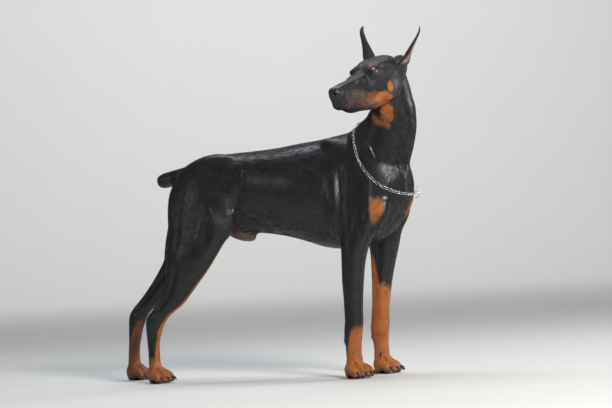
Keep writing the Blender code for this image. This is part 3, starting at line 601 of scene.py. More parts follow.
# The nose: a pad of bare black leather with two comma nostrils and a groove down its middle.
NOSE_AT = np.array([0.2555, 0.0, -0.0045])
NOSE_HALF = np.array([0.0170, 0.0208, 0.0168])
PAD_LIFT = 0.0007
NOSE_GROOVE_DEPTH, NOSE_GROOVE_WIDTH = 0.0014, 0.0011
BORE_DEPTH, SLIT_DEPTH = 0.0080, 0.0040


def nose_share(q):
    """How far a point belongs to the bare nose pad."""
    gap = np.linalg.norm((q - NOSE_AT) / NOSE_HALF, axis=1)
    front = smooth_step(0.2435, 0.2475, q[:, 0] + 0.25 * np.abs(q[:, 1]) - 0.1 * (q[:, 2] + 0.005))
    return front * smooth_step(-0.0235, -0.0200, q[:, 2]) * smooth_step(1.35, 1.15, gap)


def with_nose(points):
    """Lifts the pad off the hair around it, parts it with its groove and sinks the nostrils."""
    q = head_frame(points)
    pad = nose_share(q)
    edge = 4 * pad * (1 - pad)
    shift = PAD_LIFT * pad - PAD_LIFT * edge
    groove = NOSE_GROOVE_DEPTH * np.exp(-((q[:, 1] / NOSE_GROOVE_WIDTH) ** 2))
    shift -= groove * smooth_step(0.248, 0.254, q[:, 0]) * (q[:, 2] < 0.001)
    points = points + normals_of(points) * shift[:, None]
    q = head_frame(points)
    for side in (-1, 1):
        bore = np.array([0.2665, side * 0.0090, -0.0070])
        slit = np.array([0.2590, side * 0.0165, -0.0105])
        round_part = np.linalg.norm((q - bore) / [0.008, 0.0040, 0.0036], axis=1)
        slit_part = np.linalg.norm((q - slit) / [0.010, 0.0060, 0.0017], axis=1)
        sink = BORE_DEPTH * smooth_step(1.25, 0.55, round_part)
        sink += SLIT_DEPTH * smooth_step(1.3, 0.6, slit_part)
        q[:, 0] -= sink
        q[:, 1] -= side * sink * 0.25
    return row_frame(q)


skin_points = with_nose(skin_points)

# The eyes' openings: slim almonds between two lids that lie on the eyeball as thick rims.
LID_HALF_LENGTH = 0.0106
LID_HALF_OPEN = 0.0033
LID_THICK = 0.0013
EYE_SINK = 0.0025


def eye_axes(side):
    """The ways in which an eye looks, runs forward along its lids and rises."""
    axis = Vector((0.62, side * 0.77, 0.12)).normalized()
    ahead = Vector((abs(axis.y), -side * axis.x, 0.0)).normalized()
    up = axis.cross(ahead).normalized()
    return axis, ahead, up if up.z > 0 else -up


def with_lids(points):
    """Lays the skin round each eye on the ball as two rims, and sinks what lies between them behind it."""
    q = head_frame(points)
    for side in (-1, 1):
        axis, ahead, up = (np.array(v) for v in eye_axes(side))
        centre = np.array(eye_centre(side))
        rel = q - centre
        near = (np.linalg.norm(rel, axis=1) < 0.026) & (rel @ axis > -0.004)
        e = rel[near]
        a, b, out = e @ ahead, e @ up, np.linalg.norm(e, axis=1)
        b = b + 0.12 * a
        lens = LID_HALF_OPEN * (1 - (a / LID_HALF_LENGTH) ** 2)
        gap = np.abs(b) - np.where(b > 0, 1.05, 0.95) * lens
        gap = np.where(np.abs(a) > LID_HALF_LENGTH, np.hypot(np.abs(a) - LID_HALF_LENGTH, b), gap)
        inside = smooth_step(0.0004, -0.0006, gap)
        corner = smooth_step(0.45, 1.0, np.abs(a) / LID_HALF_LENGTH)
        rim = EYE_RADIUS + LID_THICK - 0.0005 * smooth_step(0.0, 0.0035, gap)
        seat = smooth_step(0.0055, 0.0012, gap) * (1 - 0.75 * corner)
        radius = out * (1 - seat) + rim * seat
        radius = radius * (1 - inside) + (EYE_RADIUS - EYE_SINK) * inside
        q[near] = centre + e * (radius / out)[:, None]
    return row_frame(q)


skin_points = with_lids(skin_points)

# The body's modelling: the edges of the muscles, the tendons of the legs and the folds of loose hide.
# Each is pressed into the skin along a run, as points on the right side with a width and a height.
BODY_RUNS = [
    ([(0.361, -0.020, 0.603), (0.366, -0.026, 0.516), (0.360, -0.038, 0.444), (0.350, -0.036, 0.385)],
     0.011, 0.0035),
    ([(0.276, -0.005, 0.640), (0.281, -0.028, 0.575), (0.281, -0.040, 0.500), (0.279, -0.036, 0.425)],
     0.012, -0.0050),
    ([(0.303, -0.010, 0.640), (0.305, -0.035, 0.560), (0.300, -0.042, 0.480), (0.298, -0.045, 0.400)],
     0.013, 0.0030),
    ([(0.255, 0.030, 0.690), (0.300, -0.004, 0.640), (0.345, -0.020, 0.580)], 0.009, 0.0022),
    ([(0.340, -0.034, 0.545), (0.318, -0.045, 0.480), (0.305, -0.050, 0.415)], 0.009, -0.0028),
    ([(0.435, 0.0127, 0.512), (0.402, -0.014, 0.450), (0.366, -0.012, 0.388)], 0.007, 0.0030),
    ([(0.446, 0.026, 0.508), (0.415, 0.024, 0.450), (0.380, 0.022, 0.398)], 0.006, 0.0024),
    ([(0.440, 0.019, 0.500), (0.410, 0.004, 0.450), (0.374, 0.002, 0.392)], 0.005, -0.0030),
    ([(-0.050, 0.000, 0.640), (-0.047, -0.010, 0.585), (-0.064, -0.006, 0.540), (-0.085, -0.006, 0.490)],
     0.016, -0.0050),
    ([(-0.150, -0.033, 0.530), (-0.160, -0.038, 0.507), (-0.174, -0.042, 0.454), (-0.190, -0.044, 0.400)],
     0.009, 0.0030),
    ([(-0.150, -0.033, 0.530), (-0.141, -0.037, 0.497), (-0.130, -0.037, 0.446), (-0.140, -0.038, 0.400)],
     0.008, 0.0026),
    ([(-0.151, -0.036, 0.500), (-0.152, -0.040, 0.455), (-0.162, -0.042, 0.405)], 0.009, -0.0028),
    ([(-0.235, -0.025, 0.600), (-0.245, -0.038, 0.530), (-0.255, -0.044, 0.450), (-0.262, -0.046, 0.380)],
     0.010, -0.0030),
    ([(-0.085, 0.000, 0.505), (-0.061, 0.004, 0.501), (0.002, 0.007, 0.481), (0.060, 0.009, 0.458)],
     0.008, 0.0034),
    ([(-0.085, 0.006, 0.490), (-0.055, 0.008, 0.487), (0.000, 0.012, 0.468)], 0.008, -0.0034),
    ([(-0.020, -0.010, 0.560), (-0.040, -0.004, 0.535), (-0.022, -0.006, 0.518), (0.002, -0.010, 0.530)],
     0.006, -0.0014),
    ([(0.080, -0.010, 0.640), (0.070, -0.030, 0.560), (0.100, -0.025, 0.470)], 0.018, -0.0016),
    ([(-0.170, 0.010, 0.672), (-0.215, -0.005, 0.640), (-0.260, -0.010, 0.585)], 0.012, -0.0022),
]
NECK_RUNS = [
    ([(0.370, 0.0240, 0.7760), (0.395, 0.0060, 0.7660), (0.4104, -0.0012, 0.7573), (0.448, 0.0010, 0.7300)],
     0.0038, -0.0040),
    ([(0.372, 0.0180, 0.7650), (0.396, 0.0030, 0.7520), (0.4155, -0.0013, 0.7420), (0.444, 0.0010, 0.7200)],
     0.0050, 0.0026),
    ([(0.355, -0.0014, 0.705), (0.372, -0.0056, 0.661), (0.386, -0.0042, 0.630)], 0.006, 0.0030),
    ([(0.368, -0.0030, 0.715), (0.384, -0.0060, 0.680), (0.400, -0.0040, 0.645)], 0.005, 0.0026),
    ([(0.362, -0.0020, 0.708), (0.378, -0.0060, 0.670), (0.393, -0.0042, 0.636)], 0.004, -0.0028),
    ([(0.424, 0.0058, 0.660), (0.434, 0.0150, 0.625), (0.449, 0.0300, 0.590), (0.457, 0.050, 0.560)],
     0.007, 0.0036),
    ([(0.470, 0.0500, 0.700), (0.466, 0.0600, 0.650), (0.458, 0.0600, 0.610), (0.456, 0.060, 0.570)],
     0.007, 0.0036),
    ([(0.447, 0.0250, 0.680), (0.452, 0.0350, 0.640), (0.458, 0.0480, 0.600)], 0.011, -0.0024),
    ([(0.4704, 0.0073, 0.771), (0.4765, 0.0198, 0.748), (0.4757, 0.0264, 0.724), (0.4700, 0.0300, 0.690)],
     0.007, 0.0030),
    ([(0.455, 0.000, 0.775), (0.460, 0.004, 0.745), (0.460, 0.008, 0.715)], 0.007, -0.0022),
]
# The left hind leg stands further back the lower it is, so the runs mirrored from the right follow it.
THIGHS_BEHIND = -0.1
LEFT_LEG_BACK = 0.55
# The hollow in front of the hock's tendon: level and share of the leg's depth.
SHANK_LINE = [(0.360, 0.30), (0.320, 0.30), (0.285, 0.29), (0.255, 0.28), (0.225, 0.27), (0.205, 0.26)]
SHANK_ASIDE = 0.026
# The tendons of the forearm: share of the leg's depth, width and height.
FOREARM_LINES = [(0.30, 0.006, -0.0022), (0.62, 0.007, 0.0014), (0.82, 0.005, -0.0012)]
FOREARM_LEVELS = (0.335, 0.30, 0.26, 0.22, 0.19)
FOREARM_ASIDE = 0.024
# level, rear edge, front edge and middle of each leg
LEG_COLUMNS = {
    "foreleg_right": [
        (0.02, 0.273, 0.323, -0.0206), (0.10, 0.267, 0.319, -0.0186), (0.19, 0.269, 0.328, -0.0186),
        (0.28, 0.267, 0.336, -0.0186), (0.375, 0.268, 0.355, -0.0166), (0.48, 0.255, 0.395, 0.000),
    ],
    "foreleg_left": [
        (0.02, 0.283, 0.331, 0.1634), (0.10, 0.279, 0.330, 0.1614), (0.19, 0.281, 0.338, 0.1614),
        (0.28, 0.286, 0.353, 0.1614), (0.375, 0.285, 0.380, 0.1594), (0.48, 0.268, 0.409, 0.143),
    ],
    "hindleg_right": [
        (0.02, -0.375, -0.335, -0.0206), (0.09, -0.380, -0.342, -0.0196), (0.16, -0.384, -0.327, -0.0196),
        (0.205, -0.375, -0.295, -0.0196), (0.23, -0.349, -0.257, -0.0196), (0.255, -0.329, -0.232, -0.0196),
        (0.29, -0.313, -0.202, -0.0196), (0.33, -0.308, -0.167, -0.0186), (0.41, -0.305, -0.112, -0.0096),
        (0.50, -0.302, -0.071, 0.009),
    ],
    "hindleg_left": [
        (0.02, -0.539, -0.497, 0.1504), (0.09, -0.536, -0.498, 0.1494), (0.16, -0.531, -0.481, 0.1494),
        (0.205, -0.524, -0.457, 0.1494), (0.23, -0.505, -0.425, 0.1494), (0.255, -0.479, -0.389, 0.1494),
        (0.29, -0.449, -0.345, 0.1494), (0.33, -0.419, -0.289, 0.1484), (0.41, -0.369, -0.185, 0.1424),
        (0.50, -0.323, -0.105, 0.1314),
    ],
}


def column_at(leg, level):
    """Rear edge, front edge and middle of a leg at a level."""
    rows = np.array(LEG_COLUMNS[leg])
    return [np.interp(level, rows[:, 0], rows[:, k]) for k in (1, 2, 3)]


def pressed(points, run, width, height):
    """Raises or sinks the hide along a run given in the row frame, only on the side that faces it."""
    line = np.array(run)
    reach = 3 * width
    near = np.all((points > line.min(0) - reach) & (points < line.max(0) + reach), axis=1)
    index = np.nonzero(near)[0]
    gap, where = run_distance(points[index], run)
    fade = smooth_step(0.0, 0.2, where) * smooth_step(1.0, 0.8, where)
    shift = np.zeros(len(points))
    shift[index] = height * np.exp(-((gap / width) ** 2)) * fade
    return points + normals_of(points) * shift[:, None]


def other_side(run):
    return [(x, 2 * MIDLINE - y, z) for x, y, z in run]


def down_leg(leg, aside, levels_and_shares):
    """A run down a leg, each point a share of the way from its rear edge to its front one."""
    run = []
    for level, share in levels_and_shares:
        rear, front, middle = column_at(leg, level)
        run.append((rear + share * (front - rear), middle + aside, level))
    return run


for run, width, height in BODY_RUNS:
    mirrored = other_side(run)
    if run[0][0] < THIGHS_BEHIND:
        mirrored = [(x - max(0.0, 0.50 - z) * LEFT_LEG_BACK, y, z) for x, y, z in mirrored]
    for one in (run, mirrored):
        skin_points = pressed(skin_points, one, width, height)
for run, width, height in NECK_RUNS:
    skin_points = pressed(skin_points, run, width, height)
for leg in ("hindleg_right", "hindleg_left"):
    for side in (-1, 1):
        skin_points = pressed(skin_points, down_leg(leg, side * SHANK_ASIDE, SHANK_LINE), 0.011, -0.0075)
for leg in ("foreleg_right", "foreleg_left"):
    for side in (-1, 1):
        for share, width, height in FOREARM_LINES:
            run = down_leg(leg, side * FOREARM_ASIDE, [(level, share) for level in FOREARM_LEVELS])
            skin_points = pressed(skin_points, run, width, height)

# The feet: four arched toes each, parted by grooves in the hide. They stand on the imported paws' own flats.
# x, y, turn in degrees, reach, width of each foot
FEET = {
    "forepaw_right": (0.2911, -0.0206, -22.0, 0.056, 0.056),
    "forepaw_left": (0.3051, 0.1634, -8.0, 0.056, 0.056),
    "hindpaw_right": (-0.3569, -0.0206, -14.0, 0.052, 0.050),
    "hindpaw_left": (-0.5189, 0.1504, 6.0, 0.052, 0.050),
}
# forward as a share of the reach, aside as a share of the width, and height
TOE_GROOVE = [(0.18, 0.30, 0.050), (0.50, 0.37, 0.042), (0.82, 0.40, 0.028), (1.04, 0.42, 0.010)]
TOE_ARCH = [(0.30, 0.36, 0.046), (0.58, 0.38, 0.042), (0.90, 0.40, 0.026)]
TOES = (-1.5, -0.5, 0.5, 1.5)


def foot_place(name):
    x, y, turn, _, _ = FEET[name]
    return Matrix.Translation((x, y, 0)) @ Matrix.Rotation(math.radians(turn), 4, "Z")


def along_toe(foot, line, side):
    """A run over a foot, side counted in toes from its middle."""
    _, _, _, reach, wide = FEET[foot]
    stand = foot_place(foot)
    return [tuple(stand @ Vector((share * reach, side * spread * wide, z))) for share, spread, z in line]


for foot in FEET:
    for side in (-1, 0, 1):
        skin_points = pressed(skin_points, along_toe(foot, TOE_GROOVE, side), 0.0042, -0.0062)
    for side in TOES:
        skin_points = pressed(skin_points, along_toe(foot, TOE_ARCH, side), 0.0050, 0.0022)

# The coat's depth is taken off the flesh, and the soles keep their flats on the floor.
COAT_DEPTH = 0.0012
SOLE_FLAT = 0.0016
depth = COAT_DEPTH * smooth_step(0.006, 0.030, skin_points[:, 2])
depth *= 1 - 0.6 * smooth_step(0.78, 0.86, skin_points[:, 2])
skin_points -= normals_of(skin_points) * depth[:, None]
skin_points[:, 2] = np.where(skin_points[:, 2] < SOLE_FLAT, 0.0, skin_points[:, 2])
skin_normals = normals_of(skin_points)


# The markings: rust on the brows, cheeks, muzzle, throat, forechest, vent and legs, in the same places on
# the skin and on every lock of hair. Each mark is a soft patch: centre, half sizes and strength.
# Along the throat's fold and on the far hind leg, the rust is weakened as painted shade.
HEAD_PATCHES = [
    ((0.1215, 0.0250, 0.0430), (0.0085, 0.0080, 0.0072), 0.62),
    ((0.0925, 0.0590, -0.0260), (0.0100, 0.0200, 0.0150), 1.0),
    ((0.1200, 0.0430, -0.0500), (0.0230, 0.0220, 0.0160), 1.0),
    ((0.1020, 0.0480, -0.0560), (0.0180, 0.0200, 0.0110), 0.95),
    ((0.1080, 0.0260, -0.0740), (0.0300, 0.0200, 0.0140), 1.0),
    ((0.1500, 0.0390, -0.0460), (0.0240, 0.0230, 0.0200), 0.42),
    ((0.1720, 0.0360, -0.0430), (0.0300, 0.0240, 0.0230), 0.26),
    ((0.1980, 0.0330, -0.0380), (0.0440, 0.0240, 0.0270), 0.19),
    ((0.2260, 0.0270, -0.0330), (0.0240, 0.0240, 0.0240), 0.14),
]
# The fold of loose skin that crosses the throat patch, painted as a dark line of shade in its crease, and the
# rust streak below it.
THROAT_FOLD_PAINTED_SHADE = [
    (0.3743, 0.0199, 0.7744), (0.3950, 0.0060, 0.7660), (0.4104, -0.0012, 0.7573), (0.4400, 0.0010, 0.7350),
]
THROAT_STREAK = [
    (0.3800, 0.0100, 0.7600), (0.3960, 0.0030, 0.7480), (0.4155, -0.0013, 0.7366), (0.4340, 0.0010, 0.7270),
]
BODY_PATCHES = [
    ((0.393, -0.0290, 0.496), (0.021, 0.032, 0.028), 0.92),
    ((0.385, -0.0300, 0.470), (0.012, 0.026, 0.022), 0.70),
    ((0.447, 0.1100, 0.492), (0.034, 0.044, 0.038), 0.95),
    ((0.430, 0.0000, 0.768), (0.020, 0.030, 0.026), 1.0),
    ((-0.302, 0.0714, 0.560), (0.040, 0.030, 0.045), 0.75),
]
# How high the rust climbs each leg, by the turn from the front through the inner side to the rear.
RUST_TURNS = [0, 45, 90, 135, 165, 180, 225, 270, 315, 360]
RUST_TOPS = {
    "foreleg_right": [0.150, 0.215, 0.290, 0.360, 0.200, 0.080, 0.080, 0.140, 0.147, 0.150],
    "foreleg_left": [0.250, 0.262, 0.268, 0.380, 0.240, 0.080, 0.080, 0.140, 0.180, 0.250],
    "hindleg_right": [0.400, 0.460, 0.500, 0.300, 0.060, 0.040, 0.040, 0.050, 0.070, 0.400],
    "hindleg_left": [0.160, 0.200, 0.160, 0.120, 0.060, 0.040, 0.040, 0.050, 0.070, 0.160],
}
# How full the rust is on each leg; the far (left) hind leg's is weakened to 0.45 as painted shade on its
# shaded inner side.
RUST_DEPTHS_WITH_PAINTED_SHADE = {"foreleg_right": 0.92, "foreleg_left": 1.0, "hindleg_right": 0.85, "hindleg_left": 0.45}
# Waves that together make the edges of the marks uneven: radians to a metre each way, and where they start.
EDGE_WAVES = [
    ((310.0, 140.0, -220.0), 0.3), ((-170.0, 260.0, 330.0), 1.9),
    ((420.0, -380.0, 250.0), 4.1), ((-620.0, 540.0, 480.0), 2.6),
]
EAR_PINK, LIP_PINK, SHEATH_PINK = 0.85, 0.24, 0.42
SHEATH_AT = (-0.100, MIDLINE, 0.425)
SHEATH_HALF = (0.058, 0.026, 0.030)


def wavering(points):
    """A smooth wobble from -1 to 1, about a centimetre across, that makes each mark's edge uneven."""
    return sum(np.sin(points @ np.array(wave) + start) for wave, start in EDGE_WAVES) / len(EDGE_WAVES)


def patches(points, marks):
    out = np.zeros(len(points))
    wobble = 0.15 * wavering(points)
    for centre, half, strength in marks:
        gap = np.linalg.norm((points - centre) / half, axis=1) + wobble
        out = np.maximum(out, strength * smooth_step(1.32, 0.72, gap))
    return out


def below_lip(q):
    """The dark edge of the lower lip, from the corner of the mouth forward."""
    under = lip_level(q[:, 0]) - q[:, 2]
    band = smooth_step(-0.0062, -0.0024, under) * smooth_step(0.0120, 0.0060, under)
    return band * smooth_step(0.126, 0.136, q[:, 0])


def leg_rust_with_painted_shade(points, leg):
    """Which points belong to a leg, and how rusty each is, with the far hind leg's rust weakened as painted
    shade.
    """
    forward, across, level = points.T
    side = -1 if leg.endswith("right") else 1
    rear, front, middle = column_at(leg, level)
    along = (forward - (rear + front) / 2) / np.maximum(front - rear, 0.02) * 2
    inward = -side * (across - middle) / 0.028
    turn = np.degrees(np.arctan2(inward, along)) % 360
    top = np.interp(turn, RUST_TURNS, RUST_TOPS[leg])
    reach = np.where(level < 0.09, 5.0, 1.6)
    aside = np.where(level < 0.30, 0.062, 0.045)
    groin = (level > 0.39) & (forward > -0.118) & (forward < 0.1)
    near = (np.abs(along) < reach) & (np.abs(across - middle) < aside) & (level < 0.52) & ~groin
    paw = smooth_step(0.085, 0.070, level)
    below_top = smooth_step(0.014, -0.014, level - top - 0.008 * wavering(points))
    return near, np.maximum(RUST_DEPTHS_WITH_PAINTED_SHADE[leg] * below_top, paw * 0.6)


def rust_share_with_painted_shade(points):
    """How rusty the hair is at each point, from 0 on the black to 1, with painted shade darkening it along
    the throat's fold and on the far hind leg.
    """
    q = head_frame(points)
    q[:, 1] = np.abs(q[:, 1])
    rust_with_painted_shade = patches(q, HEAD_PATCHES) * smooth_step(0.70, 0.72, points[:, 2])
    rust_with_painted_shade *= 1 - 0.92 * below_lip(q)
    rust_with_painted_shade = np.maximum(rust_with_painted_shade, patches(points, BODY_PATCHES))
    rust_with_painted_shade = np.maximum(rust_with_painted_shade, 0.9 * smooth_step(0.0065, 0.0035, run_distance(points, THROAT_STREAK)[0]))
    # Painted shade: the rust darkens to a dark line in the crease of the throat's fold.
    rust_with_painted_shade *= smooth_step(0.0012, 0.0056, run_distance(points, THROAT_FOLD_PAINTED_SHADE)[0]) * 0.9 + 0.1
    for leg in LEG_COLUMNS:
        near, mark = leg_rust_with_painted_shade(points, leg)
        rust_with_painted_shade = np.where(near, np.maximum(rust_with_painted_shade, mark), rust_with_painted_shade)
    return rust_with_painted_shade * (1 - 0.35 * smooth_step(0.036, 0.012, points[:, 2]))


def bare_share(points, normals):
    """Where no hair grows and black leather shows: nose, lid rims, the line between the lips, and soles."""
    q = head_frame(points)
    bare = nose_share(q)
    bare = np.maximum(bare, smooth_step(0.0042, 0.0020, lip_gap(q)) * smooth_step(0.128, 0.140, q[:, 0]))
    for side in (-1, 1):
        gap = np.linalg.norm(q - np.array(eye_centre(side)), axis=1)
        bare = np.maximum(bare, smooth_step(EYE_RADIUS + 0.0020, EYE_RADIUS + 0.0014, gap))
    sole = smooth_step(0.010, 0.006, points[:, 2]) * smooth_step(-0.2, -0.6, normals[:, 2])
    return np.maximum(bare, sole)


def flesh_share(points, normals):
    """Where thin hair lets pink skin through: the cup of each ear, the lower lip and the sheath."""
    q = head_frame(points)
    share = np.zeros(len(points))
    for side in (-1, 1):
        up, off = along_ear(q, side)
        across = np.array([EAR_ACROSS.x, side * EAR_ACROSS.y, EAR_ACROSS.z])
        opening = np.cross(np.array(ear_line(side)[1]), across)
        opening *= np.sign(opening[1] * side) / np.linalg.norm(opening)
        facing = (normals @ np.array(HEAD_PLACE.to_3x3() @ Vector(opening))) / HEAD_PLACE.median_scale
        cup = smooth_step(-0.22, 0.05, up) * smooth_step(0.78, 0.45, up) * smooth_step(0.024, 0.017, off)
        on_ear = (q[:, 2] > 0.025) & (q[:, 1] * side > 0.035)
        share = np.maximum(share, EAR_PINK * on_ear * cup * smooth_step(0.35, 0.75, facing))
    share = np.maximum(share, LIP_PINK * below_lip(q) * smooth_step(0.200, 0.165, q[:, 0]))
    sheath = np.linalg.norm((points - SHEATH_AT) / SHEATH_HALF, axis=1)
    return np.maximum(share, SHEATH_PINK * smooth_step(1.25, 0.75, sheath))


def give_shares(piece, rust_with_painted_shade, bare, flesh):
    """Stores how rusty (with some painted shade), bare and pink a piece is at each of its points, for its
    finish to read.
    """
    for name, values in (("rust_with_painted_shade", rust_with_painted_shade), ("bare", bare), ("flesh", flesh)):
        layer = piece.data.attributes.new(name, "FLOAT", "POINT")
        layer.data.foreach_set("value", values.astype(np.float32))


give_shares(
    skin,
    rust_share_with_painted_shade(skin_points),
    bare_share(skin_points, skin_normals),
    flesh_share(skin_points, skin_normals),
)

# The hide's finish: short glossy hair that lies flat, black or rust, over bare black leather and thin pink
# skin. Streaks are combed back along the trunk and down the legs, and relief too fine to build is a bump.
STREAKS_PER_METRE = 560.0
SHEENS_PER_METRE = 22.0
HAIRS_PER_METRE = 1600.0
# rotation and squeeze of the streaks along the trunk, and down the legs
TRUNK_COMB = ((0.0, 0.35, 0.0), (0.12, 1.0, 1.0))
LEG_COMB = ((0.0, 0.1, 0.0), (1.0, 1.0, 0.12))
LEG_COMB_BELOW, TRUNK_COMB_ABOVE = 0.42, 0.52
BLACK_HAIR = (0.0040, 0.0041, 0.0048, 1.0)
BLACK_HAIR_LIGHT = (0.0105, 0.0108, 0.0124, 1.0)
RUST_HAIR = (0.25, 0.064, 0.010, 1.0)
RUST_HAIR_LIGHT = (0.46, 0.148, 0.026, 1.0)
BARE_SKIN = (0.014, 0.012, 0.013, 1.0)
FLESH_PINK = (0.30, 0.170, 0.135, 1.0)
SHEEN_TINT = (0.75, 0.80, 0.95, 1.0)
SHEEN = 0.02
GLOSS = (0.27, 0.41)
RUST_DULLER = 0.22
FACE_DULLER = 0.22
FACE_FROM, FACE_FULL = 0.80, 0.88
HAIR_RELIEF = 0.0008


def node(tree, kind, links=(), **settings):
    """A shader node with its settings, and links as (input, source socket or plain value)."""
    made = tree.nodes.new("ShaderNode" + kind)
    for key, value in settings.items():
        setattr(made, key, value)
    for key, source in links:
        if isinstance(source, bpy.types.NodeSocket):
            tree.links.new(source, made.inputs[key])
        else:
            made.inputs[key].default_value = source
    return made


def grain(tree, place, per_metre, detail):
    """Noise over a piece, so many grains to a metre."""
    links = [("Vector", place), ("Scale", per_metre), ("Detail", detail)]
    return node(tree, "TexNoise", links).outputs["Fac"]


def ranged(tree, value, low, high, first=0.0, last=1.0):
    """A value that goes from first to last while its source goes from low to high."""
    links = [("Value", value), ("From Min", low), ("From Max", high), ("To Min", first), ("To Max", last)]
    return node(tree, "MapRange", links).outputs[0]


def blended(tree, share, first, second):
    """A value between two, by a share."""
    return node(tree, "Mix", [(0, share), (2, first), (3, second)], data_type="FLOAT").outputs[0]


def mixed(tree, share, first, second):
    """A colour between two, by a share."""
    return node(tree, "Mix", [(0, share), (6, first), (7, second)], data_type="RGBA").outputs[2]


def started(name):
    """A new material with its tree and its shader."""
    made = bpy.data.materials.new(name)
    made.use_nodes = True
    return made, made.node_tree, made.node_tree.nodes["Principled BSDF"]


def short_hair_group():
    """Fine combed streaks, broad patches of sheen and the relief of single hairs, for skin and locks."""
    group = bpy.data.node_groups.new("short_hair", "ShaderNodeTree")
    for label, size in (("Streak Size", STREAKS_PER_METRE), ("Sheen Size", SHEENS_PER_METRE)):
        group.interface.new_socket(label, in_out="INPUT", socket_type="NodeSocketFloat").default_value = size
    for label in ("Streaks", "Patches", "Height"):
        group.interface.new_socket(label, in_out="OUTPUT", socket_type="NodeSocketFloat")
    source, sink = group.nodes.new("NodeGroupInput"), group.nodes.new("NodeGroupOutput")
    place = node(group, "TexCoord").outputs["Object"]
    combed = []
    for turn, squeeze in (TRUNK_COMB, LEG_COMB):
        comb = node(group, "Mapping", [("Vector", place), ("Rotation", turn), ("Scale", squeeze)])
        combed.append(grain(group, comb.outputs[0], source.outputs["Streak Size"], 3.0))
    level = node(group, "SeparateXYZ", [("Vector", place)]).outputs["Z"]
    legs = ranged(group, level, LEG_COMB_BELOW, TRUNK_COMB_ABOVE, 1.0, 0.0)
    streaks = blended(group, legs, *combed)
    sheens = grain(group, place, source.outputs["Sheen Size"], 4.0)
    height = blended(group, 0.25, streaks, grain(group, place, HAIRS_PER_METRE, 1.0))
    for label, value in (("Streaks", streaks), ("Patches", sheens), ("Height", height)):
        group.links.new(value, sink.inputs[label])
    return group


SHORT_HAIR = short_hair_group()


def hide_material(name, bump):
    """Short glossy hair over skin, with rust marks that carry some painted shade, bare leather and
    thin-haired pink flesh.
    """
    made, tree, shader = started(name)
    hair = tree.nodes.new("ShaderNodeGroup")
    hair.node_tree = SHORT_HAIR
    streaks, sheens = hair.outputs["Streaks"], hair.outputs["Patches"]
    marks = [node(tree, "Attribute", attribute_name=key) for key in ("rust_with_painted_shade", "bare", "flesh")]
    rust_with_painted_shade, bare, flesh = (mark.outputs["Fac"] for mark in marks)
    ragged = ranged(tree, streaks, 0.3, 0.7, -0.12, 0.12)
    edge = node(tree, "Math", [(0, rust_with_painted_shade), (1, ragged)], operation="ADD")
    rusty = ranged(tree, edge.outputs[0], 0.10, 0.92)
    tone = blended(tree, 0.5, streaks, ranged(tree, sheens, 0.36, 0.64))
    black_hair = mixed(tree, tone, BLACK_HAIR, BLACK_HAIR_LIGHT)
    rust_hair = mixed(tree, tone, RUST_HAIR, RUST_HAIR_LIGHT)
    colour = mixed(tree, rusty, black_hair, rust_hair)
    colour = mixed(tree, flesh, colour, FLESH_PINK)
    colour = mixed(tree, bare, colour, BARE_SKIN)
    tree.links.new(colour, shader.inputs["Base Color"])
    gloss = ranged(tree, sheens, 0.3, 0.7, *GLOSS)
    duller = node(tree, "Math", [(0, rust_with_painted_shade), (1, RUST_DULLER), (2, gloss)], operation="MULTIPLY_ADD")
    level = node(tree, "SeparateXYZ", [("Vector", node(tree, "TexCoord").outputs["Object"])]).outputs["Z"]
    face = ranged(tree, level, FACE_FROM, FACE_FULL, 0.0, FACE_DULLER)
    dull = node(tree, "Math", [(0, duller.outputs[0]), (1, face)], operation="ADD")
    tree.links.new(dull.outputs[0], shader.inputs["Roughness"])
    links = [("Strength", bump), ("Distance", HAIR_RELIEF), ("Height", hair.outputs["Height"])]
    tree.links.new(node(tree, "Bump", links).outputs[0], shader.inputs["Normal"])
    shader.inputs["Sheen Weight"].default_value = SHEEN
    shader.inputs["Sheen Roughness"].default_value = 0.45
    shader.inputs["Sheen Tint"].default_value = SHEEN_TINT
    return made


def finish(piece, material):
    """Shades a piece smooth and gives it its one material."""
    piece.data.polygons.foreach_set("use_smooth", [True] * len(piece.data.polygons))
    piece.data.materials.clear()
    piece.data.materials.append(material)


finish(skin, hide_material("short_haired_hide", 0.30))
FLESH_NODES = BODY_NODES + ("ear_left", "ear_right")
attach(skin, "root")
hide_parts(*FLESH_NODES)

# The eyes: amber-brown balls set under the lids, each with a dark ring, a pupil and a wet clear front.
# They are pieces of their own, and the lids of the skin lie on them.
IRIS_RADIUS = 0.0066
PUPIL_RADIUS = 0.0027
FRONT_RISE = 0.0006
IRIS_DARK = (0.026, 0.008, 0.003, 1.0)
IRIS_LIGHT = (0.095, 0.032, 0.010, 1.0)
IRIS_RING = (0.012, 0.006, 0.004, 1.0)
EYE_WHITE_IN_SHADE = (0.030, 0.016, 0.013, 1.0)
PUPIL_BLACK = (0.002, 0.002, 0.002, 1.0)


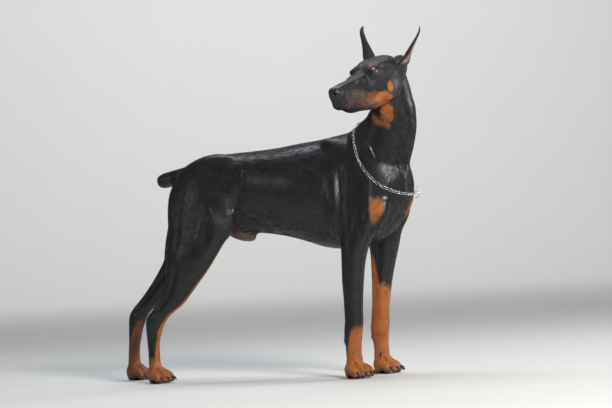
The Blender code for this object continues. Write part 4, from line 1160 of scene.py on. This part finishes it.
def eye_material():
    made, tree, shader = started("wet_amber_eye")
    place = node(tree, "TexCoord").outputs["Object"]
    flat = node(tree, "VectorMath", [(0, place), (1, (1.0, 1.0, 0.0))], operation="MULTIPLY")
    off = node(tree, "VectorMath", [(0, flat.outputs[0])], operation="LENGTH").outputs["Value"]
    rays = grain(tree, place, 900.0, 2.0)
    colour = mixed(tree, rays, IRIS_DARK, IRIS_LIGHT)
    white = ranged(tree, off, IRIS_RADIUS, IRIS_RADIUS + 0.0006)
    colour = mixed(tree, white, colour, EYE_WHITE_IN_SHADE)
    ring_inside = ranged(tree, off, IRIS_RADIUS - 0.0012, IRIS_RADIUS - 0.0003)
    ring_outside = ranged(tree, off, IRIS_RADIUS + 0.0008, IRIS_RADIUS)
    ring = node(tree, "Math", [(0, ring_inside), (1, ring_outside)], operation="MULTIPLY")
    colour = mixed(tree, ring.outputs[0], colour, IRIS_RING)
    colour = mixed(tree, ranged(tree, off, PUPIL_RADIUS + 0.0003, PUPIL_RADIUS), colour, PUPIL_BLACK)
    tree.links.new(colour, shader.inputs["Base Color"])
    tree.links.new(ranged(tree, rays, 0.0, 1.0, 0.06, 0.12), shader.inputs["Roughness"])
    shader.inputs["Coat Weight"].default_value = 1.0
    shader.inputs["Coat Roughness"].default_value = 0.02
    return made


WET_EYE = eye_material()


def eyeball(side, name):
    """A ball with the clear front standing a little proud, turned to look along the lids' opening."""
    form = bmesh.new()
    radius = EYE_RADIUS * HEAD_PLACE.median_scale
    bmesh.ops.create_uvsphere(form, u_segments=40, v_segments=28, radius=radius)
    for vert in form.verts:
        off = math.hypot(vert.co.x, vert.co.y)
        if vert.co.z > 0 and off < IRIS_RADIUS:
            vert.co.z += FRONT_RISE * (1 - (off / IRIS_RADIUS) ** 2)
        vert.co.z = min(vert.co.z, radius + 0.0005)
    made = object_from(name, [form])
    looks = HEAD_PLACE.to_3x3().normalized() @ eye_axes(side)[0]
    turned = looks.to_track_quat("Z", "Y").to_matrix().to_4x4()
    made.matrix_world = Matrix.Translation(HEAD_PLACE @ eye_centre(side)) @ turned
    finish(made, WET_EYE)
    return made


for side, name in ((-1, "eye_right"), (1, "eye_left")):
    ball = eyeball(side, name.replace("eye", "eyeball"))
    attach(ball, "root")
    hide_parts(name)

# The claws: dark horn, each a short hook that grows out of the end of a toe, and a dewclaw inside each
# foreleg. They stay separate from the skin.
# forward, up and half thickness along a claw
CLAW_BEND = [
    (-0.0020, 0.0000, 0.0040),
    (0.0060, 0.0018, 0.0038),
    (0.0120, 0.0006, 0.0033),
    (0.0170, -0.0040, 0.0024),
    (0.0200, -0.0102, 0.0006),
]
CLAW_AROUND = 12
CLAW_SLIM = 0.72
CLAW_TIP = 0.0003
CLAW_ROOT_HEIGHT = 0.0160
OUTER_TOE_BACK = 0.006
# place and half thickness along each dewclaw
DEWCLAWS = {
    "forepaw_right": [
        ((0.2951, -0.0026, 0.056), 0.0040),
        ((0.3030, 0.0026, 0.047), 0.0030),
        ((0.3051, 0.0054, 0.040), 0.0006),
    ],
    "forepaw_left": [
        ((0.3051, 0.1454, 0.062), 0.0040),
        ((0.3110, 0.1394, 0.053), 0.0030),
        ((0.3131, 0.1354, 0.046), 0.0006),
    ],
}


def mottled_material(name, per_metre, detail, dark, light, roughness):
    """A hard surface whose tone and polish vary a little over it."""
    made, tree, shader = started(name)
    noise = grain(tree, node(tree, "TexCoord").outputs["Object"], per_metre, detail)
    tree.links.new(mixed(tree, noise, dark, light), shader.inputs["Base Color"])
    tree.links.new(ranged(tree, noise, 0.0, 1.0, *roughness), shader.inputs["Roughness"])
    return made


DARK_HORN = mottled_material(
    "dark_horn", 400.0, 3.0, (0.008, 0.007, 0.007, 1.0), (0.030, 0.024, 0.020, 1.0), (0.25, 0.45)
)


def hook(stations, sideways):
    """A tapering horn through centres with a half thickness each, a little narrower than deep."""
    rows = through([(*centre, half) for centre, half in stations], 3)
    halves = np.maximum(rows[:, 3], CLAW_TIP)
    return bent_form(np.column_stack([rows[:, :3], halves, CLAW_SLIM * halves]), sideways, CLAW_AROUND)


for foot, (_, _, _, reach, wide) in FEET.items():
    stand = foot_place(foot)
    sideways = stand.to_3x3() @ Vector((0, 1, 0))
    horns = []
    for side in TOES:
        toe = reach - OUTER_TOE_BACK * (abs(side) - 0.5) * 2
        root = Vector((toe * 0.82, side * wide * 0.41, CLAW_ROOT_HEIGHT))
        horns.append(hook([(stand @ (root + Vector((x, 0, z))), half) for x, z, half in CLAW_BEND], sideways))
    if foot in DEWCLAWS:
        horns.append(hook(DEWCLAWS[foot], Vector((0, 1, 0))))
    claws = object_from("claws_" + foot, horns)
    finish(claws, DARK_HORN)
    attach(claws, "root")

# The collar: a slip collar of polished steel curb chain, with flat oval links and a plain ring at each end,
# both at the front of the neck. It lies loose on the coat, pulled down by its weight.
COLLAR_RUN = [
    (0.3181, 0.0714, 0.742), (0.3151, 0.1164, 0.712), (0.3281, 0.1494, 0.655), (0.3531, 0.1634, 0.607),
    (0.3931, 0.1564, 0.562), (0.4351, 0.1264, 0.535), (0.4711, 0.0714, 0.526),
]
LINK_COUNT = 68
LINK_HALF_LONG = 0.0056
LINK_HALF_WIDE = 0.0040
LINK_WIRE = 0.00092
LINK_ROLLS = (math.radians(-22), math.radians(40))
CHAIN_LIFT = 0.0036
# place along the run from the front, radius, lean from straight out, and whether it lies flat
END_RINGS = [(3, 0.0125, math.radians(68), True), (1, 0.0085, math.radians(-14), False)]
END_RING_WIRE = 0.0015
STEEL_DARK = (0.50, 0.53, 0.58, 1.0)
STEEL_LIGHT = (0.72, 0.75, 0.80, 1.0)


def ring_form(centre, long_axis, wide_axis, half_long, half_wide, wire, segments=20, around=8):
    """A closed loop of round wire, oval in the plane of its two axes."""
    axis = long_axis.cross(wide_axis).normalized()
    form = bmesh.new()
    rows = []
    for turn in turns(segments):
        ahead, aside = math.cos(turn), math.sin(turn)
        middle = centre + long_axis * (half_long * ahead) + wide_axis * (half_wide * aside)
        ray = (long_axis * (half_wide * ahead) + wide_axis * (half_long * aside)).normalized()
        rows.append(
            [form.verts.new(middle + (ray * math.cos(t) + axis * math.sin(t)) * wire) for t in turns(around)]
        )
    for i in range(segments):
        low, high = rows[i], rows[(i + 1) % segments]
        for k in range(around):
            form.faces.new((low[k], low[(k + 1) % around], high[(k + 1) % around], high[k]))
    bmesh.ops.recalc_face_normals(form, faces=form.faces)
    return form


skin_tree = BVHTree.FromObject(skin, bpy.context.evaluated_depsgraph_get())


def on_skin(points):
    """The nearest place on the skin to each point, and the way out there."""
    hits = [skin_tree.find_nearest(Vector(point)) for point in points]
    return np.array([hit[0] for hit in hits]), np.array([hit[1] for hit in hits])


def evened(ring):
    return (np.roll(ring, 1, 0) + 2 * ring + np.roll(ring, -1, 0)) / 4


def collar_run():
    """Points of the collar's middle line on the coat, and the way out at each."""
    near_side = other_side(COLLAR_RUN)
    loop = near_side + list(reversed(COLLAR_RUN[1:-1]))
    hits = [skin_tree.find_nearest(Vector(point)) for point in through(loop + loop[:1], 12)[:-1]]
    points = np.array([hit[0] + hit[1] * CHAIN_LIFT for hit in hits])
    outward = np.array([hit[1] for hit in hits])
    for _ in range(10):
        points, outward = evened(points), evened(outward)
    for i, point in enumerate(points):
        hit = skin_tree.find_nearest(Vector(point))
        low = (Vector(point) - hit[0]).dot(hit[1])
        points[i] = point + np.array(hit[1]) * max(0.0, CHAIN_LIFT - low)
    return points, outward


def collar_forms():
    """The links one by one round the run, rolled by turns, and the two end rings at the front."""
    points, outward = collar_run()
    steps = np.linalg.norm(np.roll(points, -1, 0) - points, axis=1)
    travel = np.concatenate([[0], np.cumsum(steps)])
    centres, ways = np.vstack([points, points[:1]]), np.vstack([outward, outward[:1]])

    def at(table, s):
        return Vector([np.interp(s % travel[-1], travel, table[:, k]) for k in range(3)])

    forms = []
    for i in range(LINK_COUNT):
        s = travel[-1] * i / LINK_COUNT
        centre = at(centres, s)
        along = (at(centres, s + 0.003) - at(centres, s - 0.003)).normalized()
        wide = along.cross(at(ways, s)).normalized()
        out = wide.cross(along)
        roll = LINK_ROLLS[i % 2]
        flat = wide * math.cos(roll) + out * math.sin(roll)
        forms.append(ring_form(centre, along, flat, LINK_HALF_LONG, LINK_HALF_WIDE, LINK_WIRE))
    for place, radius, lean, lies_flat in END_RINGS:
        front = int(np.argmax(points[:, 0])) + place
        centre, out = Vector(points[front]), Vector(outward[front]).normalized()
        along = (Vector(points[front + 1]) - centre).normalized()
        up = along.cross(out).normalized()
        up = up if up.z > 0 else -up
        reach = (out * math.cos(lean) + up * math.sin(lean)).normalized()
        side = along if lies_flat else reach.cross(along).normalized()
        forms.append(ring_form(centre + reach * radius, reach, side, radius, radius, END_RING_WIRE, 40, 12))
    return forms


chain_steel = mottled_material("polished_chain", 260.0, 4.0, STEEL_DARK, STEEL_LIGHT, (0.16, 0.34))
chain_steel.node_tree.nodes["Principled BSDF"].inputs["Metallic"].default_value = 1.0
chain = object_from("curb_chain_collar", collar_forms())
finish(chain, chain_steel)
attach(chain, "root")
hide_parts("collar_chain")

# The coat: short stiff hairs in thin tapering locks that lie along the body and overlap like thatch.
# They are longest on the neck, trunk and rump, and smallest on the head and the feet.
ROOTS_PER_PIECE = 11500
COAT_SEED = 7
# half width as a share of the lock's, and height off the skin as a share of its height, from the root on
LOCK_STATIONS = [(0.75, -0.35), (1.0, 0.35), (0.62, 0.60)]
LOCK_TIP_RISE = 0.75
LOCK_STEP = 0.34
LOCK_RIDGE = 0.36
LOCK_POINTS = 3 * len(LOCK_STATIONS) + 1
LOCK_STRAY = 0.045
LOCK_SPREAD = (0.75, 1.25)
FOOT_SMALLER = 0.45
# Each lock's patch on the map: where its points lie, as shares of a patch this wide.
LOCK_PATCH = 0.003
PATCH_PLACES = [(x, y) for y in (0.0, 0.4, 0.7) for x in (0.0, 1.0, 0.5)] + [(0.5, 1.0)]
# length, width and height of the locks of each piece of coat, and the way they point
HEAD_LIE = HEAD_PLACE.to_3x3() @ Vector((-1.0, 0.0, -0.15))
COAT_SIZES = {
    "coat_head": (0.0050, 0.00055, 0.00028, HEAD_LIE),
    "coat_neck": (0.0150, 0.00062, 0.00040, (-0.45, 0.0, -1.0)),
    "coat_trunk_right": (0.0150, 0.00062, 0.00034, (-1.0, 0.0, -0.30)),
    "coat_trunk_left": (0.0150, 0.00062, 0.00034, (-1.0, 0.0, -0.30)),
    "coat_rump": (0.0150, 0.00062, 0.00040, (-0.75, 0.0, -0.75)),
    "coat_forelegs": (0.0100, 0.00055, 0.00032, (-0.15, 0.0, -1.0)),
    "coat_hindlegs": (0.0100, 0.00055, 0.00032, (-0.15, 0.0, -1.0)),
}
SHOULDER_LIE = (-0.55, 0.0, -0.85)
TAIL_LIE = (-1.0, 0.0, -0.10)
HEAD, NECK, TRUNK_RIGHT, TRUNK_LEFT, RUMP, FORELEGS, HINDLEGS = range(len(COAT_SIZES))


def coat_region(points):
    """The piece of coat that each point belongs to."""
    x, y, z = points.T
    region = np.where(y < MIDLINE, TRUNK_RIGHT, TRUNK_LEFT)
    region[x < -0.105] = RUMP
    region[(z > 0.56) & (x > 0.335 + (0.70 - z) * 0.15)] = NECK
    region[above_throat(points) > 0.035] = HEAD
    region[(z < 0.40) & (x > 0.0)] = FORELEGS
    region[(z < 0.42) & (x < 0.0)] = HINDLEGS
    return region


def lie_of_coat(points, region, lie):
    """The way the hair points: a piece's own way, but down the shoulder, along the tail and up the ears."""
    ways = np.tile(np.array(lie), (len(points), 1))
    ways[(points[:, 0] < -0.29) & (points[:, 2] > 0.57)] = TAIL_LIE
    if region in (TRUNK_RIGHT, TRUNK_LEFT):
        ways[points[:, 0] > 0.22] = SHOULDER_LIE
    q = head_frame(points)
    for side in (-1, 1):
        up, _ = along_ear(q, side)
        on_ear = (up > 0.25) & (q[:, 2] > 0.045) & (q[:, 1] * side > 0.03)
        ways[on_ear] = np.array(HEAD_PLACE.to_3x3() @ ear_line(side)[1])
    return ways


def unwrapped(points, region):
    """Where each root lies on an unwrap of the skin: round and along the axis of its own piece of coat."""
    x, y, z = points.T
    if region == HEAD:
        q = head_frame(points)
        around = np.arctan2(q[:, 1], q[:, 2] + 0.02)
        along = (q[:, 0] + 0.06) / 0.36
    elif region == NECK:
        around = np.arctan2(y - 0.06, x - 0.42)
        along = (z - 0.50) / 0.45
    elif region in (FORELEGS, HINDLEGS):
        around = np.zeros(len(points))
        for on_left, side in ((True, "_left"), (False, "_right")):
            rear, front, middle = column_at(("foreleg" if region == FORELEGS else "hindleg") + side, z)
            turn = np.arctan2(y - middle, x - (rear + front) / 2)
            half = turn / 2 + (math.pi / 2 if on_left else -math.pi / 2)
            around = np.where((y > MIDLINE) == on_left, half, around)
        along = z / 0.46
    else:
        around = np.arctan2(y - MIDLINE, z - 0.55)
        along = (x + 0.40) / 0.90
    place = np.stack([around / (2 * math.pi) + 0.5, np.clip(along, 0, 1)], axis=1)
    return 0.02 + 0.955 * place


def scattered_roots(rng):
    """Random places over the skin, evenly by area within each piece of coat, and none on bare skin."""
    skin.data.calc_loop_triangles()
    corners = np.empty(len(skin.data.loop_triangles) * 3, dtype=np.int64)
    skin.data.loop_triangles.foreach_get("vertices", corners)
    corners = corners.reshape(-1, 3)
    a, b, c = (skin_points[corners[:, k]] for k in range(3))
    face_normals = np.cross(b - a, c - a)
    areas = np.linalg.norm(face_normals, axis=1) / 2
    middles = (a + b + c) / 3
    region = coat_region(middles)
    bare = bare_share(middles, face_normals / np.maximum(2 * areas, 1e-12)[:, None])
    weight = areas * (bare < 0.25)
    out = []
    for index in range(len(COAT_SIZES)):
        chance = np.where(region == index, weight, 0.0)
        picks = rng.choice(len(areas), ROOTS_PER_PIECE, p=chance / chance.sum())
        u, v = rng.random(ROOTS_PER_PIECE), rng.random(ROOTS_PER_PIECE)
        flip = u + v > 1
        u, v = np.where(flip, 1 - u, u), np.where(flip, 1 - v, v)
        out.append(a[picks] + (b - a)[picks] * u[:, None] + (c - a)[picks] * v[:, None])
    return out


def unit(vectors):
    return vectors / np.maximum(np.linalg.norm(vectors, axis=1), 1e-9)[:, None]


def lock_faces(total):
    """The faces of so many three-sided locks, each closed at its root and at its tip."""
    sides = []
    for low in (0, 3):
        for k in range(3):
            j = (k + 1) % 3
            sides += [(low + k, low + j, low + 3 + j), (low + k, low + 3 + j, low + 3 + k)]
    sides += [(6, 7, 9), (7, 8, 9), (8, 6, 9), (2, 1, 0)]
    return (np.arange(total)[:, None, None] * LOCK_POINTS + np.array(sides)[None]).reshape(-1, 3)


def lock_points(roots, region, rng):
    """The points of a tapering lock at each root, laid over the skin a third of its length at a time."""
    length, width, height, lie = COAT_SIZES[list(COAT_SIZES)[region]]
    total = len(roots)
    small = 1 - FOOT_SMALLER * smooth_step(0.10, 0.04, roots[:, 2])
    scale = rng.uniform(*LOCK_SPREAD, total) * small
    ways = unit(lie_of_coat(roots, region, lie) + rng.normal(0, LOCK_STRAY, (total, 3)))
    corners = []
    place = roots
    for slim, rise in LOCK_STATIONS:
        touch, out = on_skin(place)
        ahead = unit(ways - np.sum(ways * out, axis=1)[:, None] * out)
        middle = touch + out * (rise * height * small)[:, None]
        half = np.cross(out, ahead) * (width * slim * scale / 2)[:, None]
        ridge = middle + out * (LOCK_RIDGE * width * slim * scale)[:, None]
        corners += [middle - half, middle + half, ridge]
        place = touch + ahead * (length * scale * LOCK_STEP)[:, None]
    touch, out = on_skin(place)
    corners.append(touch + out * (LOCK_TIP_RISE * height * small)[:, None])
    return np.stack(corners, axis=1).reshape(-1, 3)


def mesh_of(name, points, faces):
    mesh = bpy.data.meshes.new(name)
    mesh.vertices.add(len(points))
    mesh.vertices.foreach_set("co", points.ravel())
    mesh.loops.add(faces.size)
    mesh.loops.foreach_set("vertex_index", faces.ravel().astype(np.int32))
    mesh.polygons.add(len(faces))
    mesh.polygons.foreach_set("loop_start", np.arange(0, faces.size, 3, dtype=np.int32))
    mesh.update(calc_edges=True)
    return mesh


LOCK_HAIR = hide_material("short_hair_locks", 0.12)
coat_rng = np.random.default_rng(COAT_SEED)
for region, (name, roots) in enumerate(zip(COAT_SIZES, scattered_roots(coat_rng))):
    faces = lock_faces(len(roots))
    coat = bpy.data.objects.new(name, mesh_of(name, lock_points(roots, region, coat_rng), faces))
    bpy.context.scene.collection.objects.link(coat)
    flesh = 0.6 * flesh_share(roots, on_skin(roots)[1])
    shares = [np.repeat(share, LOCK_POINTS) for share in (rust_share_with_painted_shade(roots), np.zeros(len(roots)), flesh)]
    give_shares(coat, *shares)
    patch = unwrapped(roots, region)[:, None, :] + LOCK_PATCH * np.array(PATCH_PLACES)[None]
    bake_map = coat.data.uv_layers.new(name="OFBake")
    bake_map.data.foreach_set("uv", patch.reshape(-1, 2)[faces.ravel()].ravel().astype(np.float32))
    finish(coat, LOCK_HAIR)
    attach(coat, "root")

# The studio: a pale floor that sweeps up into a wall, big soft lamps, and a long lens low at the right
# flank, a little ahead of the body and rolled by three degrees.
FLOOR_HALF = 24.0
SWEEP_AT = 8.0
SWEEP_RADIUS = 4.0
SWEEP_STEPS = 12
WALL_TOP = 12.0
FLOOR_BELOW = 0.0005
FLOOR_PALE = (0.72, 0.72, 0.71, 1.0)
FLOOR_SHADE = (0.72 * 0.97, 0.72 * 0.97, 0.71 * 0.97, 1.0)
# place, aim, size, power and colour of each lamp
LAMPS = {
    "key_lamp": ((3.4, -2.9, 2.7), (0.0, 0.0, 0.5), (1.0, 1.0), 205.0, (1.0, 0.96, 0.90)),
    "side_lamp": ((3.0, 1.9, 1.5), (0.2, 0.0, 0.6), (0.7, 1.8), 48.0, (1.0, 0.98, 0.95)),
    "top_lamp": ((-0.4, 0.7, 3.2), (0.0, 0.0, 0.5), (2.4, 0.9), 52.0, (0.88, 0.94, 1.0)),
    "fill_lamp": ((-3.2, -3.6, 1.8), (0.0, 0.0, 0.45), (1.4, 1.2), 16.0, (0.94, 0.97, 1.0)),
    "wall_lamp": ((-3.2, 7.0, 6.5), (-4.6, 11.0, 2.0), (6.0, 1.5), 330.0, (1.0, 1.0, 1.0)),
}
AIR_COLOUR = (0.86, 0.90, 0.96, 1.0)
AIR_LIGHT = 0.15
CAMERA_AT = (3.37892, -7.23695, 0.5)
CAMERA_TURN = math.radians(24.0)
CAMERA_RISE = math.radians(0.1022)
CAMERA_ROLL = math.radians(-3.0904)
CAMERA_LENS = 158.424


def floor_material():
    made, tree, shader = started("pale_floor")
    clouds = grain(tree, node(tree, "TexCoord").outputs["Object"], 3.0, 4.0)
    tree.links.new(mixed(tree, clouds, FLOOR_SHADE, FLOOR_PALE), shader.inputs["Base Color"])
    shader.inputs["Roughness"].default_value = 0.8
    return made


def studio_sheet():
    """The studio's floor and back wall in one sheet, square to the camera."""
    profile = [(-FLOOR_HALF, 0.0), (SWEEP_AT, 0.0)]
    for k in range(1, SWEEP_STEPS + 1):
        angle = math.pi / 2 * k / SWEEP_STEPS
        rise = SWEEP_RADIUS - SWEEP_RADIUS * math.cos(angle)
        profile.append((SWEEP_AT + SWEEP_RADIUS * math.sin(angle), rise))
    profile.append((SWEEP_AT + SWEEP_RADIUS, WALL_TOP))
    form = bmesh.new()
    left, right = ([form.verts.new((x, y, z)) for y, z in profile] for x in (-FLOOR_HALF, FLOOR_HALF))
    for i in range(len(profile) - 1):
        form.faces.new((left[i], right[i], right[i + 1], left[i + 1]))
    made = object_from("studio_floor", [form])
    below = Matrix.Translation((0, 0, -FLOOR_BELOW))
    made.matrix_world = Matrix.Rotation(CAMERA_TURN, 4, "Z") @ below
    finish(made, floor_material())
    return made


studio_sheet()
for name, (at, toward, size, power, colour) in LAMPS.items():
    lamp = bpy.data.lights.new(name, "AREA")
    lamp.shape = "RECTANGLE"
    lamp.size, lamp.size_y = size
    lamp.energy = power
    lamp.color = colour
    lamp_stand = bpy.data.objects.new(name, lamp)
    lamp_stand.location = at
    lamp_stand.rotation_euler = (Vector(toward) - Vector(at)).to_track_quat("-Z", "Y").to_euler()
    bpy.context.scene.collection.objects.link(lamp_stand)

world = bpy.data.worlds.new("studio_air")
world.use_nodes = True
world.node_tree.nodes["Background"].inputs["Color"].default_value = AIR_COLOUR
world.node_tree.nodes["Background"].inputs["Strength"].default_value = AIR_LIGHT
bpy.context.scene.world = world
bpy.context.scene.view_settings.view_transform = "Standard"

camera = bpy.data.cameras.new("camera")
camera.sensor_width = 36.0
camera.lens = CAMERA_LENS
camera.clip_end = 60.0
camera_stand = bpy.data.objects.new("camera", camera)
camera_stand.matrix_world = (
    Matrix.Translation(CAMERA_AT)
    @ Matrix.Rotation(CAMERA_TURN, 4, "Z")
    @ Matrix.Rotation(math.radians(90.0) + CAMERA_RISE, 4, "X")
    @ Matrix.Rotation(CAMERA_ROLL, 4, "Z")
)
bpy.context.scene.collection.objects.link(camera_stand)
bpy.context.scene.camera = camera_stand
